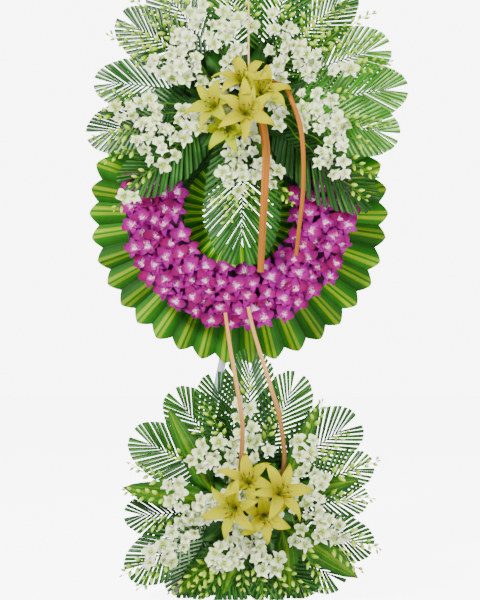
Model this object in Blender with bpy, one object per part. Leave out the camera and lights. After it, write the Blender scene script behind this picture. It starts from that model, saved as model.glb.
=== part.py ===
# Two-tier standing funeral wreath: a round leaf and orchid wreath on a low stand, with a
# palm, orchid and lily spray at its top and another at its foot.
# Metres, +Z up. The front faces -Y. The origin is the centre of the plinth's underside.

import math
import random

import bmesh
import bpy
from mathutils import Vector

SEED = 4
GAP = 0.0003

# The plinth and the struts behind the wreath.
PLINTH_HALF_WIDTH = 0.185
PLINTH_FRONT = -0.09
PLINTH_BACK = 0.23
PLINTH_HEIGHT = 0.13
PLINTH_CHAMFER = 0.006
STRUT_RADIUS = 0.011
STRUT_FOOT_X = 0.150
STRUT_TOP_X = 0.0125
STRUT_TOP_Z = 0.800
REAR_STRUT_RADIUS = 0.009
REAR_STRUT_FOOT_Y = 0.200
REAR_STRUT_TOP_Z = 0.760
APEX_PLATE = (0.070, 0.004, 0.210)
APEX_PLATE_BOTTOM = 0.690

# The wreath itself: wire frame, leaf sheet, straw ring and orchid band, from back to front.
RING_Z = 1.056
HOOP_RADII = (0.180, 0.340)
HOOP_WIRE = 0.0035
HOOP_STEPS = 16
RUNG_WIRE = 0.0024
RUNGS = 6
STRAW_FRONT = -0.045
STRAW_BACK = 0.015
# Radius and depth of the corners of the straw ring's section.
STRAW_SECTION = (
    (0.152, -0.015),
    (0.170, STRAW_FRONT),
    (0.290, STRAW_FRONT),
    (0.310, -0.015),
    (0.295, STRAW_BACK),
    (0.165, STRAW_BACK),
)
STRAW_STEPS = 24
RIM_LEAVES = 38
RIM_SECTORS = 6
RIM_TIP, RIM_NOTCH = 0.420, 0.396
RIM_INNER_TIP, RIM_INNER_NOTCH = 0.085, 0.104
RIM_PLEAT = 0.025
RIM_THICKNESS = 0.0016
RIM_SECTOR_MARGIN = 0.06
BAND_START, BAND_END = 157.0, 387.0
BAND_SECTORS = 6
BAND_INNER, BAND_OUTER = 0.154, 0.314
PAD_DEPTH = 0.012
PAD_BEVEL = 0.012
BAND_ROWS = (0.170, 0.213, 0.256, 0.299)
BAND_SPACING = 0.0580
BAND_BLOOM = 0.0285
BAND_STAGGER = 0.18
BAND_TILT = 0.28
BAND_CUP = 0.007
BLOOM_ROLL = 0.5
STAR_NOTCH = 0.45

# Both sprays: a foam block on an angle bracket, with the depth of each layer in front of the
# foam's back face.
UPPER_X, UPPER_Z = 0.004, 1.357
LOWER_X, LOWER_Z = 0.031, 0.260
BRACKET_SHEET = 0.003
BRACKET_HALF_WIDTH = 0.055
SHELF_DEPTH = 0.036
PLATE_BELOW_TOP = 0.006
FOAM_HALF_WIDTH, FOAM_HALF_HEIGHT, FOAM_DEPTH = 0.070, 0.055, 0.139
LAYERS = (0.0135, 0.0335, 0.0535, 0.0735, 0.0880)
WHITE_BACK, WHITE_FRONT = 0.1050, 0.1345
FOOT_RADIUS = 0.038
FOOT_HALF = 0.0022
FOOT_CLEARANCE = 0.0004
# How far a stalk's straight foot comes out of the foam.
FOOT_RISE = 0.012

# Palm fronds: layer, then for each frond its angle, length, half width and sideways bend.
# The first frond of a node stands in the foam, and the others branch from its stalk.
FRONDS_UPPER = (
    (1, ((5, 0.459, 0.090, -0.010), (-12, 0.442, 0.086, -0.014))),
    (0, ((22, 0.440, 0.092, 0.012),)),
    (2, ((45, 0.433, 0.084, 0.010), (68, 0.419, 0.084, 0.012))),
    (1, ((95, 0.407, 0.082, -0.008),)),
    (0, ((124, 0.422, 0.084, -0.010), (144, 0.405, 0.084, 0.008))),
    (2, ((172, 0.398, 0.078, -0.012), (193, 0.424, 0.080, 0.012))),
    (3, ((217, 0.399, 0.080, 0.016),)),
    (4, ((271, 0.440, 0.108, 0.004),)),
    (3, ((-38, 0.461, 0.088, -0.020),)),
)
FRONDS_LOWER = (
    (2, ((-42, 0.330, 0.070, -0.012), (-20, 0.349, 0.068, 0.010))),
    (1, ((2, 0.319, 0.062, -0.008), (18, 0.347, 0.068, 0.010))),
    (0, ((38, 0.366, 0.084, 0.012),)),
    (2, ((90, 0.365, 0.070, 0.006), (70, 0.365, 0.074, -0.010), (104, 0.340, 0.066, 0.010))),
    (0, ((125, 0.365, 0.078, -0.008), (150, 0.366, 0.080, 0.012))),
    (2, ((186, 0.338, 0.066, 0.008), (210, 0.378, 0.076, 0.014))),
    (3, ((270, 0.236, 0.066, 0.004),)),
)
FROND_ARCH = 0.16
FRONT_FROND_ARCH = 0.05
LEAFLETS = 8
POINTED_LEAFLETS = 4
LEAFLET_WIDE_ANGLE, LEAFLET_NARROW_ANGLE = 62, 26
LEAFLET_TIP_SHARE = 0.46
# How far the last leaflets reach past the end of the rib, as a share of the half width.
FROND_END = 0.55
LEAFLET_DROOP = 0.06
FLOOR_CLEARANCE = 0.004
RIB_HALF = 0.0021
RIB_TIP_HALF = 0.0012
LEAF_EDGE_HALF = 0.00045
BRANCH_STEP = 0.012
BRANCH_SHARE = 0.82

# White orchid sprays: layer depth, then for each stem its angle, the reach of its first and
# last open bloom, its tip and its sideways bend. The first stem of a node stands in the foam.
WHITES_UPPER = (
    (WHITE_FRONT, (
        (205, 0.12, 0.30, 0.400, 0.010),
        (187, 0.12, 0.33, 0.385, 0.004),
        (219, 0.11, 0.29, 0.380, 0.012),
    )),
    (WHITE_BACK, (
        (148, 0.13, 0.21, 0.385, -0.008),
        (137, 0.17, 0.22, 0.395, -0.012),
        (160, 0.15, 0.27, 0.310, 0.006),
    )),
    (WHITE_FRONT, (
        (96, 0.09, 0.23, 0.280, 0.004),
        (117, 0.13, 0.26, 0.335, 0.008),
    )),
    (WHITE_BACK, (
        (33, 0.14, 0.22, 0.435, 0.010),
        (62, 0.13, 0.22, 0.290, 0.004),
        (14, 0.20, 0.30, 0.425, -0.008),
    )),
    (WHITE_FRONT, (
        (-20, 0.11, 0.31, 0.380, -0.006),
        (2, 0.12, 0.235, 0.300, 0.006),
        (-39, 0.15, 0.36, 0.440, -0.016),
    )),
    (WHITE_BACK, (
        (-84, 0.09, 0.20, 0.300, 0.004),
        (-64, 0.12, 0.245, 0.320, -0.006),
        (-104, 0.11, 0.24, 0.335, 0.008),
    )),
)
WHITES_LOWER = (
    (WHITE_FRONT, (
        (172, 0.11, 0.21, 0.340, 0.010),
        (208, 0.12, 0.29, 0.390, 0.012),
    )),
    (WHITE_BACK, (
        (92, 0.10, 0.28, 0.345, 0.004),
        (125, 0.11, 0.20, 0.250, -0.004),
    )),
    (WHITE_FRONT, (
        (20, 0.12, 0.215, 0.365, 0.008),
        (56, 0.13, 0.24, 0.345, -0.006),
        (-18, 0.13, 0.25, 0.365, -0.008),
    )),
    (WHITE_BACK, (
        (264, 0.10, 0.16, 0.222, 0.002),
        (236, 0.12, 0.21, 0.272, -0.004),
        (292, 0.12, 0.20, 0.240, 0.004),
    )),
)
WHITE_ARCH = 0.06
WHITE_SPACING = 0.0460
WHITE_BLOOM = 0.0285
WHITE_SIDE = 0.0200
WHITE_FORWARD = 0.0150
WHITE_CUP = 0.005
WHITE_TILT = 0.2
WHITE_TURN_OUT = 0.25
BUD_SPACING = 0.0350
BUD_LENGTH = 0.0290
BUD_HALF = 0.0047
STEM_TIP_HALF = 0.0010
STEM_STATIONS = (0.0, 0.33, 0.66, 1.0)

# Broad cordyline leaves of the lower spray: angle, length and half width of each.
LEAVES_LOWER = (
    ((172, 0.345, 0.036), (130, 0.342, 0.030)),
    ((253, 0.250, 0.038), (231, 0.312, 0.034)),
    ((-34, 0.350, 0.034), (-62, 0.270, 0.034)),
    ((13, 0.300, 0.028), (56, 0.334, 0.024)),
)
LEAF_STATIONS = (0.22, 0.45, 0.72, 0.90)
LEAF_HALF_THICKNESS = 0.0007
LEAF_PLEAT = 0.003

# Lilies: place of the heart in x and z and its distance from the foam, lean to the right and
# up, roll in degrees and petal length.
LILIES_UPPER = (
    (0.012, 1.376, 0.020, 0.05, 0.40, 10, 0.092),
    (-0.055, 1.318, 0.030, -0.40, 0.10, 44, 0.086),
    (-0.026, 1.262, 0.020, -0.20, -0.35, 5, 0.080),
    (0.018, 1.302, 0.052, 0.05, -0.20, 28, 0.096),
    (0.054, 1.354, 0.030, 0.20, 0.20, 50, 0.088),
)
LILIES_LOWER = (
    (0.028, 0.322, 0.020, -0.10, 0.35, 15, 0.090),
    (-0.002, 0.264, 0.030, -0.35, -0.15, 40, 0.092),
    (0.102, 0.298, 0.044, 0.15, 0.15, 0, 0.096),
    (0.064, 0.248, 0.024, 0.15, -0.30, 22, 0.086),
)
LILY_STEM_HALF = 0.0032
LILY_STEM_DEPTH = 0.016
LILY_EDGE_MARGIN = 0.014
PETAL_HALF_WIDTH = 0.0135
PETAL_HALF_THICKNESS = 0.0007
# Throat, widest place and tip of a petal: out from the axis and forward, as shares of its length.
PETAL_STATIONS = ((0.17, 0.30), (0.58, 0.50), (0.92, 0.42))
PISTIL_REACH = 0.050
PETAL_LIFT = 0.004

# Rattan strips: width, then the points of each route from its root in a foam block.
STRIP_HALF_THICKNESS = 0.0006
STRIP_SLOT = 0.0004
STRIPS_UPPER = (
    (0.022, (
        (0.053, -0.1740, 1.330), (0.053, -0.1925, 1.330), (0.057, -0.2080, 1.316),
        (0.067, -0.2140, 1.267), (0.074, -0.2115, 1.205), (0.071, -0.1990, 1.120),
        (0.067, -0.1800, 1.040), (0.063, -0.1600, 0.960), (0.060, -0.1420, 0.887),
    )),
    (0.013, (
        (0.058, -0.1740, 1.390), (0.058, -0.1925, 1.390), (0.090, -0.2120, 1.392),
        (0.126, -0.2180, 1.376), (0.146, -0.2200, 1.332), (0.165, -0.2180, 1.275),
        (0.173, -0.2110, 1.205), (0.173, -0.1920, 1.102), (0.164, -0.1660, 1.010),
        (0.157, -0.1340, 0.933),
    )),
    (0.005, (
        (0.028, -0.1740, 1.404), (0.028, -0.1925, 1.404), (0.028, -0.2120, 1.420),
        (0.027, -0.2180, 1.480), (0.027, -0.2150, 1.560), (0.028, -0.2020, 1.640),
        (0.030, -0.1840, 1.690),
    )),
)
STRIPS_LOWER = (
    (0.012, (
        (0.000, -0.2180, 0.308), (0.000, -0.2370, 0.308), (0.002, -0.2520, 0.328),
        (0.008, -0.2620, 0.400), (0.010, -0.2620, 0.490), (-0.007, -0.2400, 0.600),
        (-0.023, -0.1960, 0.691), (-0.036, -0.1380, 0.777),
    )),
    (0.012, (
        (0.090, -0.2180, 0.304), (0.090, -0.2370, 0.304), (0.108, -0.2530, 0.326),
        (0.121, -0.2640, 0.396), (0.109, -0.2640, 0.501), (0.090, -0.2500, 0.568),
        (0.071, -0.2250, 0.630), (0.042, -0.1760, 0.725), (0.026, -0.1380, 0.793),
    )),
)

FRONT = Vector((0, -1, 0))

random.seed(SEED)


def clear_scene():
    for item in list(bpy.data.objects):
        bpy.data.objects.remove(item)


def linear(value):
    return value / 12.92 if value <= 0.04045 else ((value + 0.055) / 1.055) ** 2.4


def material(name, hex_colour, roughness, metallic=0.0):
    made = bpy.data.materials.new(name)
    made.use_nodes = True
    shader = made.node_tree.nodes["Principled BSDF"]
    parts = [int(hex_colour[i:i + 2], 16) / 255 for i in (0, 2, 4)]
    shader.inputs["Base Color"].default_value = (*[linear(part) for part in parts], 1)
    shader.inputs["Roughness"].default_value = roughness
    shader.inputs["Metallic"].default_value = metallic
    return made


def closed_object(name, points, faces):
    """An object whose faces all point outwards, not yet in the scene."""
    mesh = bpy.data.meshes.new(name)
    mesh.from_pydata([tuple(point) for point in points], [], faces)
    shape = bmesh.new()
    shape.from_mesh(mesh)
    bmesh.ops.recalc_face_normals(shape, faces=shape.faces)
    shape.to_mesh(mesh)
    shape.free()
    return bpy.data.objects.new(name, mesh)


def combine(base, others, operation, solver):
    """Runs one Boolean of base with all the others, applies it and removes the others."""
    scene = bpy.context.scene.collection
    group = bpy.data.collections.new(base.name + "_repeats")
    scene.children.link(group)
    for other in others:
        group.objects.link(other)
    boolean = base.modifiers.new(operation.lower(), "BOOLEAN")
    boolean.operation = operation
    boolean.operand_type = "COLLECTION"
    boolean.collection = group
    boolean.solver = solver
    graph = bpy.context.evaluated_depsgraph_get()
    result = bpy.data.meshes.new_from_object(base.evaluated_get(graph))
    base.modifiers.clear()
    base.data = result
    for other in others:
        bpy.data.objects.remove(other)
    bpy.data.collections.remove(group)


def place(name, pieces, finish, cutters=(), smooth=False):
    """Joins the pieces in one solid, cuts it and puts it in the scene as one node."""
    base = pieces[0]
    base.name = name
    bpy.context.scene.collection.objects.link(base)
    if len(pieces) > 1:
        combine(base, pieces[1:], "UNION", "MANIFOLD")
    if cutters:
        combine(base, cutters, "DIFFERENCE", "EXACT")
    base.data.name = name
    base.data.materials.clear()
    base.data.materials.append(finish)
    if smooth:
        base.data.shade_smooth()
        base.data.set_sharp_from_angle(angle=math.radians(35))
    return base


def box(name, low, high):
    points = [(x, y, z) for z in (low[2], high[2]) for y in (low[1], high[1]) for x in (low[0], high[0])]
    faces = [(0, 2, 3, 1), (4, 5, 7, 6), (0, 1, 5, 4), (2, 6, 7, 3), (0, 4, 6, 2), (1, 3, 7, 5)]
    return closed_object(name, points, faces)


def lofted(name, rings):
    """A solid through rings of equal point count, closed at both ends."""
    sides = len(rings[0])
    points = [point for ring in rings for point in ring]
    faces = [tuple(range(sides)), tuple(range(len(points) - sides, len(points)))]
    for k in range(len(rings) - 1):
        for i in range(sides):
            j = (i + 1) % sides
            low, high = k * sides, (k + 1) * sides
            faces.append((low + i, low + j, high + j))
            faces.append((low + i, high + j, high + i))
    return closed_object(name, points, faces)


def square_ring(centre, side, front, half_side, half_front=None):
    half_front = half_side if half_front is None else half_front
    corners = ((-1, -1), (1, -1), (1, 1), (-1, 1))
    return [centre + side * (a * half_side) + front * (b * half_front) for a, b in corners]


def both_faces(triangles, count, outline):
    """The front triangles, the same ones behind, and the wall along the outline."""
    faces = triangles + [tuple(count + i for i in reversed(triangle)) for triangle in triangles]
    edge = list(outline)
    for i, j in zip(edge, edge[1:] + edge[:1]):
        faces += [(i, i + count, j + count), (i, j + count, j)]
    return faces


def blade(name, outline, normals, halves, triangles):
    """A thin closed blade whose points all lie on its outline."""
    points = [p + n * h for p, n, h in zip(outline, normals, halves)]
    points += [p - n * h for p, n, h in zip(outline, normals, halves)]
    count = len(outline)
    return closed_object(name, points, both_faces(triangles, count, range(count)))


def lens(name, outline, front_apex, back_apex):
    """A bud or flower head: an outline joined to one point in front and one behind.

    Behind a flower's star the tepals are flat, and only the notches run back to the stalk.
    """
    count = len(outline)
    points = list(outline) + [front_apex, back_apex]
    faces = [(i, (i + 1) % count, count) for i in range(count)]
    if count < 10:
        faces += [((i + 1) % count, i, count + 1) for i in range(count)]
        return closed_object(name, points, faces)
    for notch in range(1, count, 2):
        following = (notch + 2) % count
        faces.append(((notch + 1) % count, notch, following))
        faces.append((following, notch, count + 1))
    return closed_object(name, points, faces)


def star_outline(centre, facing, roll, radius):
    """Ten points: five blunt tepal tips and the notches between them."""
    across = facing.cross(Vector((0, 0, 1))).normalized()
    up = across.cross(facing).normalized()
    outline = []
    for i in range(10):
        reach = radius if i % 2 == 0 else radius * STAR_NOTCH
        turn = roll + math.pi * (0.5 + i / 5)
        outline.append(centre + across * (reach * math.cos(turn)) + up * (reach * math.sin(turn)))
    return outline


def spread(half):
    return random.uniform(-half, half)


# Stand


def make_plinth(finish):
    low = (-PLINTH_HALF_WIDTH, PLINTH_FRONT, 0)
    high = (PLINTH_HALF_WIDTH, PLINTH_BACK, PLINTH_HEIGHT)
    plinth = place("base_plinth", [box("base_plinth", low, high)], finish)
    shape = bmesh.new()
    shape.from_mesh(plinth.data)
    bmesh.ops.bevel(shape, geom=list(shape.edges), offset=PLINTH_CHAMFER, segments=1, affect="EDGES")
    shape.to_mesh(plinth.data)
    shape.free()


def upright(name, foot, head, radius, sides=8):
    """A round bar whose two ends are cut level."""
    rings = []
    for end in (Vector(foot), Vector(head)):
        turns = [2 * math.pi * i / sides for i in range(sides)]
        rings.append([end + Vector((radius * math.cos(a), radius * math.sin(a), 0)) for a in turns])
    return lofted(name, rings)


def make_stand(grey, steel):
    make_plinth(grey)
    hoop_y = hoop_depth()
    plate_front = hoop_y + HOOP_WIRE + GAP
    plate_back = plate_front + APEX_PLATE[1]
    low = (-APEX_PLATE[0] / 2, plate_front, APEX_PLATE_BOTTOM)
    high = (APEX_PLATE[0] / 2, plate_back, APEX_PLATE_BOTTOM + APEX_PLATE[2])
    place("apex_plate", [box("apex_plate", low, high)], steel)
    foot_z = PLINTH_HEIGHT + GAP
    strut_y = plate_back + GAP + STRUT_RADIUS
    for name, side in (("strut_left", -1), ("strut_right", 1)):
        foot = (side * STRUT_FOOT_X, strut_y, foot_z)
        head = (side * STRUT_TOP_X, strut_y, STRUT_TOP_Z)
        place(name, [upright(name, foot, head, STRUT_RADIUS)], steel, smooth=True)
    head = (0, plate_back + GAP + REAR_STRUT_RADIUS, REAR_STRUT_TOP_Z)
    foot = (0, REAR_STRUT_FOOT_Y, foot_z)
    place("strut_rear", [upright("strut_rear", foot, head, REAR_STRUT_RADIUS)], steel, smooth=True)


# Wreath ring


def on_ring(radius, degrees, y):
    turn = math.radians(degrees)
    return Vector((radius * math.cos(turn), y, RING_Z + radius * math.sin(turn)))


def valley_depth(radius):
    """How far back the leaf sheet's front face lies in the valley of a pleat."""
    return STRAW_BACK + GAP + RIM_PLEAT * radius


def hoop_depth():
    return valley_depth(HOOP_RADII[1]) + RIM_THICKNESS + GAP + HOOP_WIRE


def turned_ring(name, section, steps):
    """A closed ring with its section given as corners of radius and depth."""
    sides = len(section)
    points, faces = [], []
    for k in range(steps):
        points += [on_ring(radius, 360 * k / steps, y) for radius, y in section]
    for k in range(steps):
        low, high = k * sides, (k + 1) % steps * sides
        for i in range(sides):
            j = (i + 1) % sides
            faces.append((low + i, low + j, high + j, high + i))
    return closed_object(name, points, faces)


def make_wire_frame(finish):
    y = hoop_depth()
    pieces = []
    for radius in HOOP_RADII:
        low, high = radius - HOOP_WIRE, radius + HOOP_WIRE
        section = ((high, y), (radius, y + HOOP_WIRE), (low, y), (radius, y - HOOP_WIRE))
        pieces.append(turned_ring("hoop", section, HOOP_STEPS))
    for k in range(RUNGS):
        degrees = 360 * (k + 0.5) / RUNGS
        along = (on_ring(1, degrees, 0) - on_ring(0, degrees, 0)).normalized()
        side = along.cross(FRONT).normalized()
        ends = [on_ring(radius, degrees, y) for radius in HOOP_RADII]
        pieces.append(lofted("rung", [square_ring(end, side, FRONT, RUNG_WIRE) for end in ends]))
    place("ring_wire_frame", pieces, finish)


def make_straw_ring(finish):
    place("straw_ring", [turned_ring("straw_ring", STRAW_SECTION, STRAW_STEPS)], finish)


def make_leaf_rim(finish):
    """Pleated sheet of leaves, in sectors: each leaf has its rib forward and its edges back."""
    pitch = 360 / RIM_LEAVES
    for sector in range(RIM_SECTORS):
        first = round(sector * RIM_LEAVES / RIM_SECTORS)
        last = round((sector + 1) * RIM_LEAVES / RIM_SECTORS)
        inner, outer = [], []
        for edge in range(2 * first, 2 * last + 1):
            degrees = 90 + pitch * edge / 2
            if edge in (2 * first, 2 * last):
                degrees += RIM_SECTOR_MARGIN if edge == 2 * first else -RIM_SECTOR_MARGIN
            if edge % 2 == 0:
                inner.append(on_ring(RIM_INNER_NOTCH, degrees, valley_depth(RIM_INNER_NOTCH)))
                outer.append(on_ring(RIM_NOTCH, degrees, valley_depth(RIM_NOTCH)))
            else:
                inner.append(on_ring(RIM_INNER_TIP, degrees, STRAW_BACK + GAP))
                outer.append(on_ring(RIM_TIP, degrees, STRAW_BACK + GAP))
        count = len(inner)
        outline = inner + outer[::-1]
        triangles = []
        for i in range(count - 1):
            a, b, c, d = i, i + 1, 2 * count - 2 - i, 2 * count - 1 - i
            if (i + 2 * first) % 2 == 0:
                triangles += [(a, b, c), (a, c, d)]
            else:
                triangles += [(a, b, d), (b, c, d)]
        back = [Vector((0, 1, 0))] * len(outline)
        middle = [point + Vector((0, RIM_THICKNESS / 2, 0)) for point in outline]
        halves = [RIM_THICKNESS / 2] * len(outline)
        name = f"leaf_rim_{sector + 1}"
        place(name, [blade(name, middle, back, halves, triangles)], finish)


def kept_in_sector(point, start, end):
    """Moves a point that leaves the sector to its border."""
    x, z = point.x, point.z - RING_Z
    radius = math.hypot(x, z)
    middle = (start + end) / 2
    off = (math.degrees(math.atan2(z, x)) - middle + 180) % 360 - 180
    limit = (end - start) / 2 - math.degrees(GAP / radius)
    turned = middle + max(-limit, min(limit, off))
    return on_ring(radius, turned, point.y)


def make_orchid_band(finish):
    """Purple blooms in four rows on a thin pad, the pad lying on the straw ring's front."""
    span = (BAND_END - BAND_START) / BAND_SECTORS
    pad_back = STRAW_FRONT - GAP
    pad_front = pad_back - PAD_DEPTH
    for sector in range(BAND_SECTORS):
        start = BAND_START + sector * span
        end = start + span
        rings = []
        for k in range(4):
            degrees = start + span * k / 3
            corners = ((BAND_INNER, pad_back), (BAND_OUTER, pad_back),
                       (BAND_OUTER - PAD_BEVEL, pad_front), (BAND_INNER + PAD_BEVEL, pad_front))
            ring = [on_ring(radius, degrees, y) for radius, y in corners]
            rings.append([kept_in_sector(point, start, end) for point in ring])
        pieces = [lofted("pad", rings)]
        for row, radius in enumerate(BAND_ROWS):
            count = max(2, round(math.radians(span) * radius / BAND_SPACING))
            for i in range(count):
                stagger = BAND_STAGGER if row % 2 else -BAND_STAGGER
                degrees = start + span * (i + 0.5 + stagger) / count
                depth = pad_front - 0.019 + spread(0.003)
                centre = on_ring(radius + spread(0.004), degrees, depth)
                facing = Vector((spread(BAND_TILT), -1, spread(BAND_TILT))).normalized()
                outline = star_outline(centre, facing, spread(BLOOM_ROLL), BAND_BLOOM)
                outline = [kept_in_sector(point, start, end) for point in outline]
                root = on_ring(radius, degrees, pad_back - PAD_DEPTH / 2)
                pieces.append(lens("bloom", outline, centre + facing * BAND_CUP, root))
        place(f"orchid_band_{sector + 1}", pieces, finish)


# Sprays


class Spray:
    """The centre of a spray and the feet and slots that its foam block needs."""

    def __init__(self, x, z, plate_back):
        self.x = x
        self.z = z
        self.plate_back = plate_back
        self.foam_back = plate_back - BRACKET_SHEET - GAP
        self.foam_front = self.foam_back - FOAM_DEPTH
        self.cutters = []

    def polar(self, radius, degrees, depth):
        turn = math.radians(degrees)
        x = self.x + radius * math.cos(turn)
        return Vector((x, self.foam_back - depth, self.z + radius * math.sin(turn)))

    def edge_radius(self, degrees):
        turn = math.radians(degrees)
        across = FOAM_HALF_WIDTH / max(1e-6, abs(math.cos(turn)))
        upward = FOAM_HALF_HEIGHT / max(1e-6, abs(math.sin(turn)))
        return min(across, upward)

    def foot(self, degrees, depth):
        """The two ends of the straight stalk that stands in a square hole in the foam."""
        inner = self.polar(FOOT_RADIUS, degrees, depth)
        outer = self.polar(self.edge_radius(degrees) + FOOT_RISE, degrees, depth)
        along = (outer - inner).normalized()
        side = along.cross(FRONT).normalized()
        half = FOOT_HALF + FOOT_CLEARANCE
        ends = (inner - along * FOOT_CLEARANCE, outer)
        self.cutters.append(lofted("hole", [square_ring(end, side, FRONT, half) for end in ends]))
        return inner, outer

    def make_holder(self, plate_bottom, steel, foam, name):
        """The angle bracket and the foam block on it."""
        back = self.plate_back
        sheet_front = back - BRACKET_SHEET
        foam_bottom = self.z - FOAM_HALF_HEIGHT
        foam_top = self.z + FOAM_HALF_HEIGHT
        shelf_top = foam_bottom - GAP
        x0, x1 = self.x - BRACKET_HALF_WIDTH, self.x + BRACKET_HALF_WIDTH
        plate = box("plate", (x0, sheet_front, plate_bottom), (x1, back, foam_top - PLATE_BELOW_TOP))
        low = (x0 + 0.001, sheet_front - SHELF_DEPTH, shelf_top - BRACKET_SHEET)
        shelf = box("shelf", low, (x1 - 0.001, back - BRACKET_SHEET / 2, shelf_top))
        place(name + "_bracket", [plate, shelf], steel)
        low = (self.x - FOAM_HALF_WIDTH, self.foam_front, foam_bottom)
        high = (self.x + FOAM_HALF_WIDTH, self.foam_back, foam_top)
        place(name + "_foam", [box("foam", low, high)], foam, cutters=self.cutters)


class Path:
    """A stalk's route beyond its foot: a shallow arc that leans back with the square of its reach."""

    def __init__(self, start, tip, bend, arch, step=0.0):
        self.start = start
        self.tip = tip
        self.arch = arch
        self.step = step
        flat = Vector((tip.x - start.x, 0, tip.z - start.z))
        self.length = flat.length
        self.side = flat.normalized().cross(FRONT).normalized()
        self.control = (start + tip) / 2 - self.side * bend

    def at(self, t):
        point = self.start * (1 - t) ** 2 + self.control * (2 * t * (1 - t)) + self.tip * t ** 2
        lean = self.arch * (t * self.length) ** 2
        forward = self.step * (1 - (1 - t) ** 3)
        return Vector((point.x, self.start.y + lean - forward, point.z))

    def frame(self, t):
        """Point, direction along, direction to the side and direction to the front."""
        along = (self.at(min(1, t + 0.01)) - self.at(max(0, t - 0.01))).normalized()
        side = along.cross(FRONT).normalized()
        return self.at(t), along, side, side.cross(along).normalized()


def frond_blade(path, foot, half_width, first=0.13):
    """A palm frond in one outline: stalk, then leaflets cut in to the rib on both sides.

    The leaflets' notches on the two sides are staggered, so that none shares a rib point.
    """
    outline, normals, halves, triangles = [], [], [], []

    def add(point, normal, half):
        outline.append(point)
        normals.append(normal)
        halves.append(half)
        return len(outline) - 1

    def rib_half(t):
        return RIB_HALF + (RIB_TIP_HALF - RIB_HALF) * t

    def rib_point(t, sign):
        point, _, side, front = path.frame(t)
        return add(point + side * (sign * rib_half(t)), front, rib_half(t))

    def leaflet(t, sign, root, following):
        """The two cut corners of a leaflet between two notches."""
        point, along, side, front = path.frame(t)
        u = (t - first) / (1 - first)
        angle = math.radians(LEAFLET_WIDE_ANGLE + (LEAFLET_NARROW_ANGLE - LEAFLET_WIDE_ANGLE) * u)
        reach = half_width * math.sin(math.pi * (0.13 + 0.82 * u)) ** 0.7
        forward = reach / math.tan(angle)
        wide = (following - root) * path.length * LEAFLET_TIP_SHARE / 2
        centre = point + side * (sign * reach) + along * forward - front * (LEAFLET_DROOP * reach)
        corners = [centre + along * shift for shift in (-wide, wide)]
        for corner in corners:
            corner.z = max(corner.z, FLOOR_CLEARANCE)
        return [(corner, front) for corner in corners]

    def chain(sign, stagger):
        """Notch and tip indices up one side of the frond, from stalk to tip."""
        step = (1 - first) / (LEAFLETS + 0.8)
        stations = [first + step * (i + stagger) for i in range(LEAFLETS + 1)]
        notches, tips = [rib_point(stations[0], sign)], []
        for i in range(LEAFLETS):
            middle = (stations[i] + stations[i + 1]) / 2
            corners = leaflet(middle, sign, stations[i], stations[i + 1])
            if i >= LEAFLETS - POINTED_LEAFLETS:
                corners = corners[1:]
            tips.append([add(point, front, LEAF_EDGE_HALF) for point, front in corners])
            notches.append(rib_point(stations[i + 1], sign))
        return notches, tips

    side0 = (foot[1] - foot[0]).normalized().cross(FRONT).normalized()
    size = FOOT_HALF if foot[2] else RIB_HALF * BRANCH_SHARE
    left_stalk = [add(end + side0 * size, FRONT, size) for end in foot[:2]]
    left, left_tips = chain(1, 0)
    top = add(path.at(1), path.frame(1)[3], LEAF_EDGE_HALF)
    mark = len(outline)
    right, right_tips = chain(-1, 0.5)
    right_stalk = [add(end - side0 * size, FRONT, size) for end in foot[:2]]
    # The right side was built from stalk to tip, and an outline runs back from tip to stalk.
    order = list(range(mark, mark + len(right) + sum(len(tip) for tip in right_tips)))
    ring = list(range(mark)) + order[::-1] + [right_stalk[1], right_stalk[0]]
    rib_left = left_stalk + left + [top]
    rib_right = right_stalk + right + [top]
    stalk = list(zip(rib_left, rib_right))
    for (a, b), (c, d) in zip(stalk, stalk[1:]):
        triangles.append((a, b, c))
        if c != d:
            triangles.append((b, d, c))
    for notches, tips in ((left, left_tips), (right, right_tips)):
        for i, corners in enumerate(tips):
            if len(corners) == 2:
                triangles.append((notches[i], corners[0], corners[1]))
            triangles.append((notches[i], corners[-1], notches[i + 1]))
    place_of = {old: new for new, old in enumerate(ring)}
    triangles = [tuple(place_of[i] for i in triangle) for triangle in triangles]
    return blade("frond", [outline[i] for i in ring], [normals[i] for i in ring],
                 [halves[i] for i in ring], triangles)


def make_fronds(spray, nodes, name, finish):
    for k, (layer, fronds) in enumerate(nodes):
        arch = FRONT_FROND_ARCH if layer > 2 else FROND_ARCH
        depth = LAYERS[layer]
        pieces = []
        for angle, length, half_width, bend in fronds:
            if not pieces:
                inner, outer = spray.foot(angle, depth)
                path = Path(outer, spray.polar(length - FROND_END * half_width, angle, depth), bend, arch)
                joint = path.frame(0.02)
                pieces.append(frond_blade(path, (inner, outer, True), half_width))
            else:
                start = joint[0]
                tip = spray.polar(length - FROND_END * half_width, angle, depth)
                path = Path(start, tip, bend, arch, BRANCH_STEP)
                foot = (start, path.at(0.04), False)
                pieces.append(frond_blade(path, foot, half_width, first=0.20))
        place(f"{name}_{k + 1}", pieces, finish)


def stem_piece(path, foot, half):
    """A square stalk through the foam hole and along the path, thinner to its tip."""
    rings = []
    if foot:
        side = (foot[1] - foot[0]).normalized().cross(FRONT).normalized()
        rings = [square_ring(end, side, FRONT, half) for end in foot]
    for t in STEM_STATIONS[1:] if foot else STEM_STATIONS:
        point, _, side, front = path.frame(t)
        rings.append(square_ring(point, side, front, half + (STEM_TIP_HALF - half) * t))
    return lofted("stem", rings)


def bud_piece(root, direction, length, half):
    side = direction.cross(FRONT).normalized()
    up = side.cross(direction).normalized()
    middle = root + direction * (length * 0.6)
    turns = [2 * math.pi * i / 3 for i in range(3)]
    ring = [middle + side * (half * math.cos(a)) + up * (half * math.sin(a)) for a in turns]
    return lens("bud", ring, root + direction * length, root)


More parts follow.
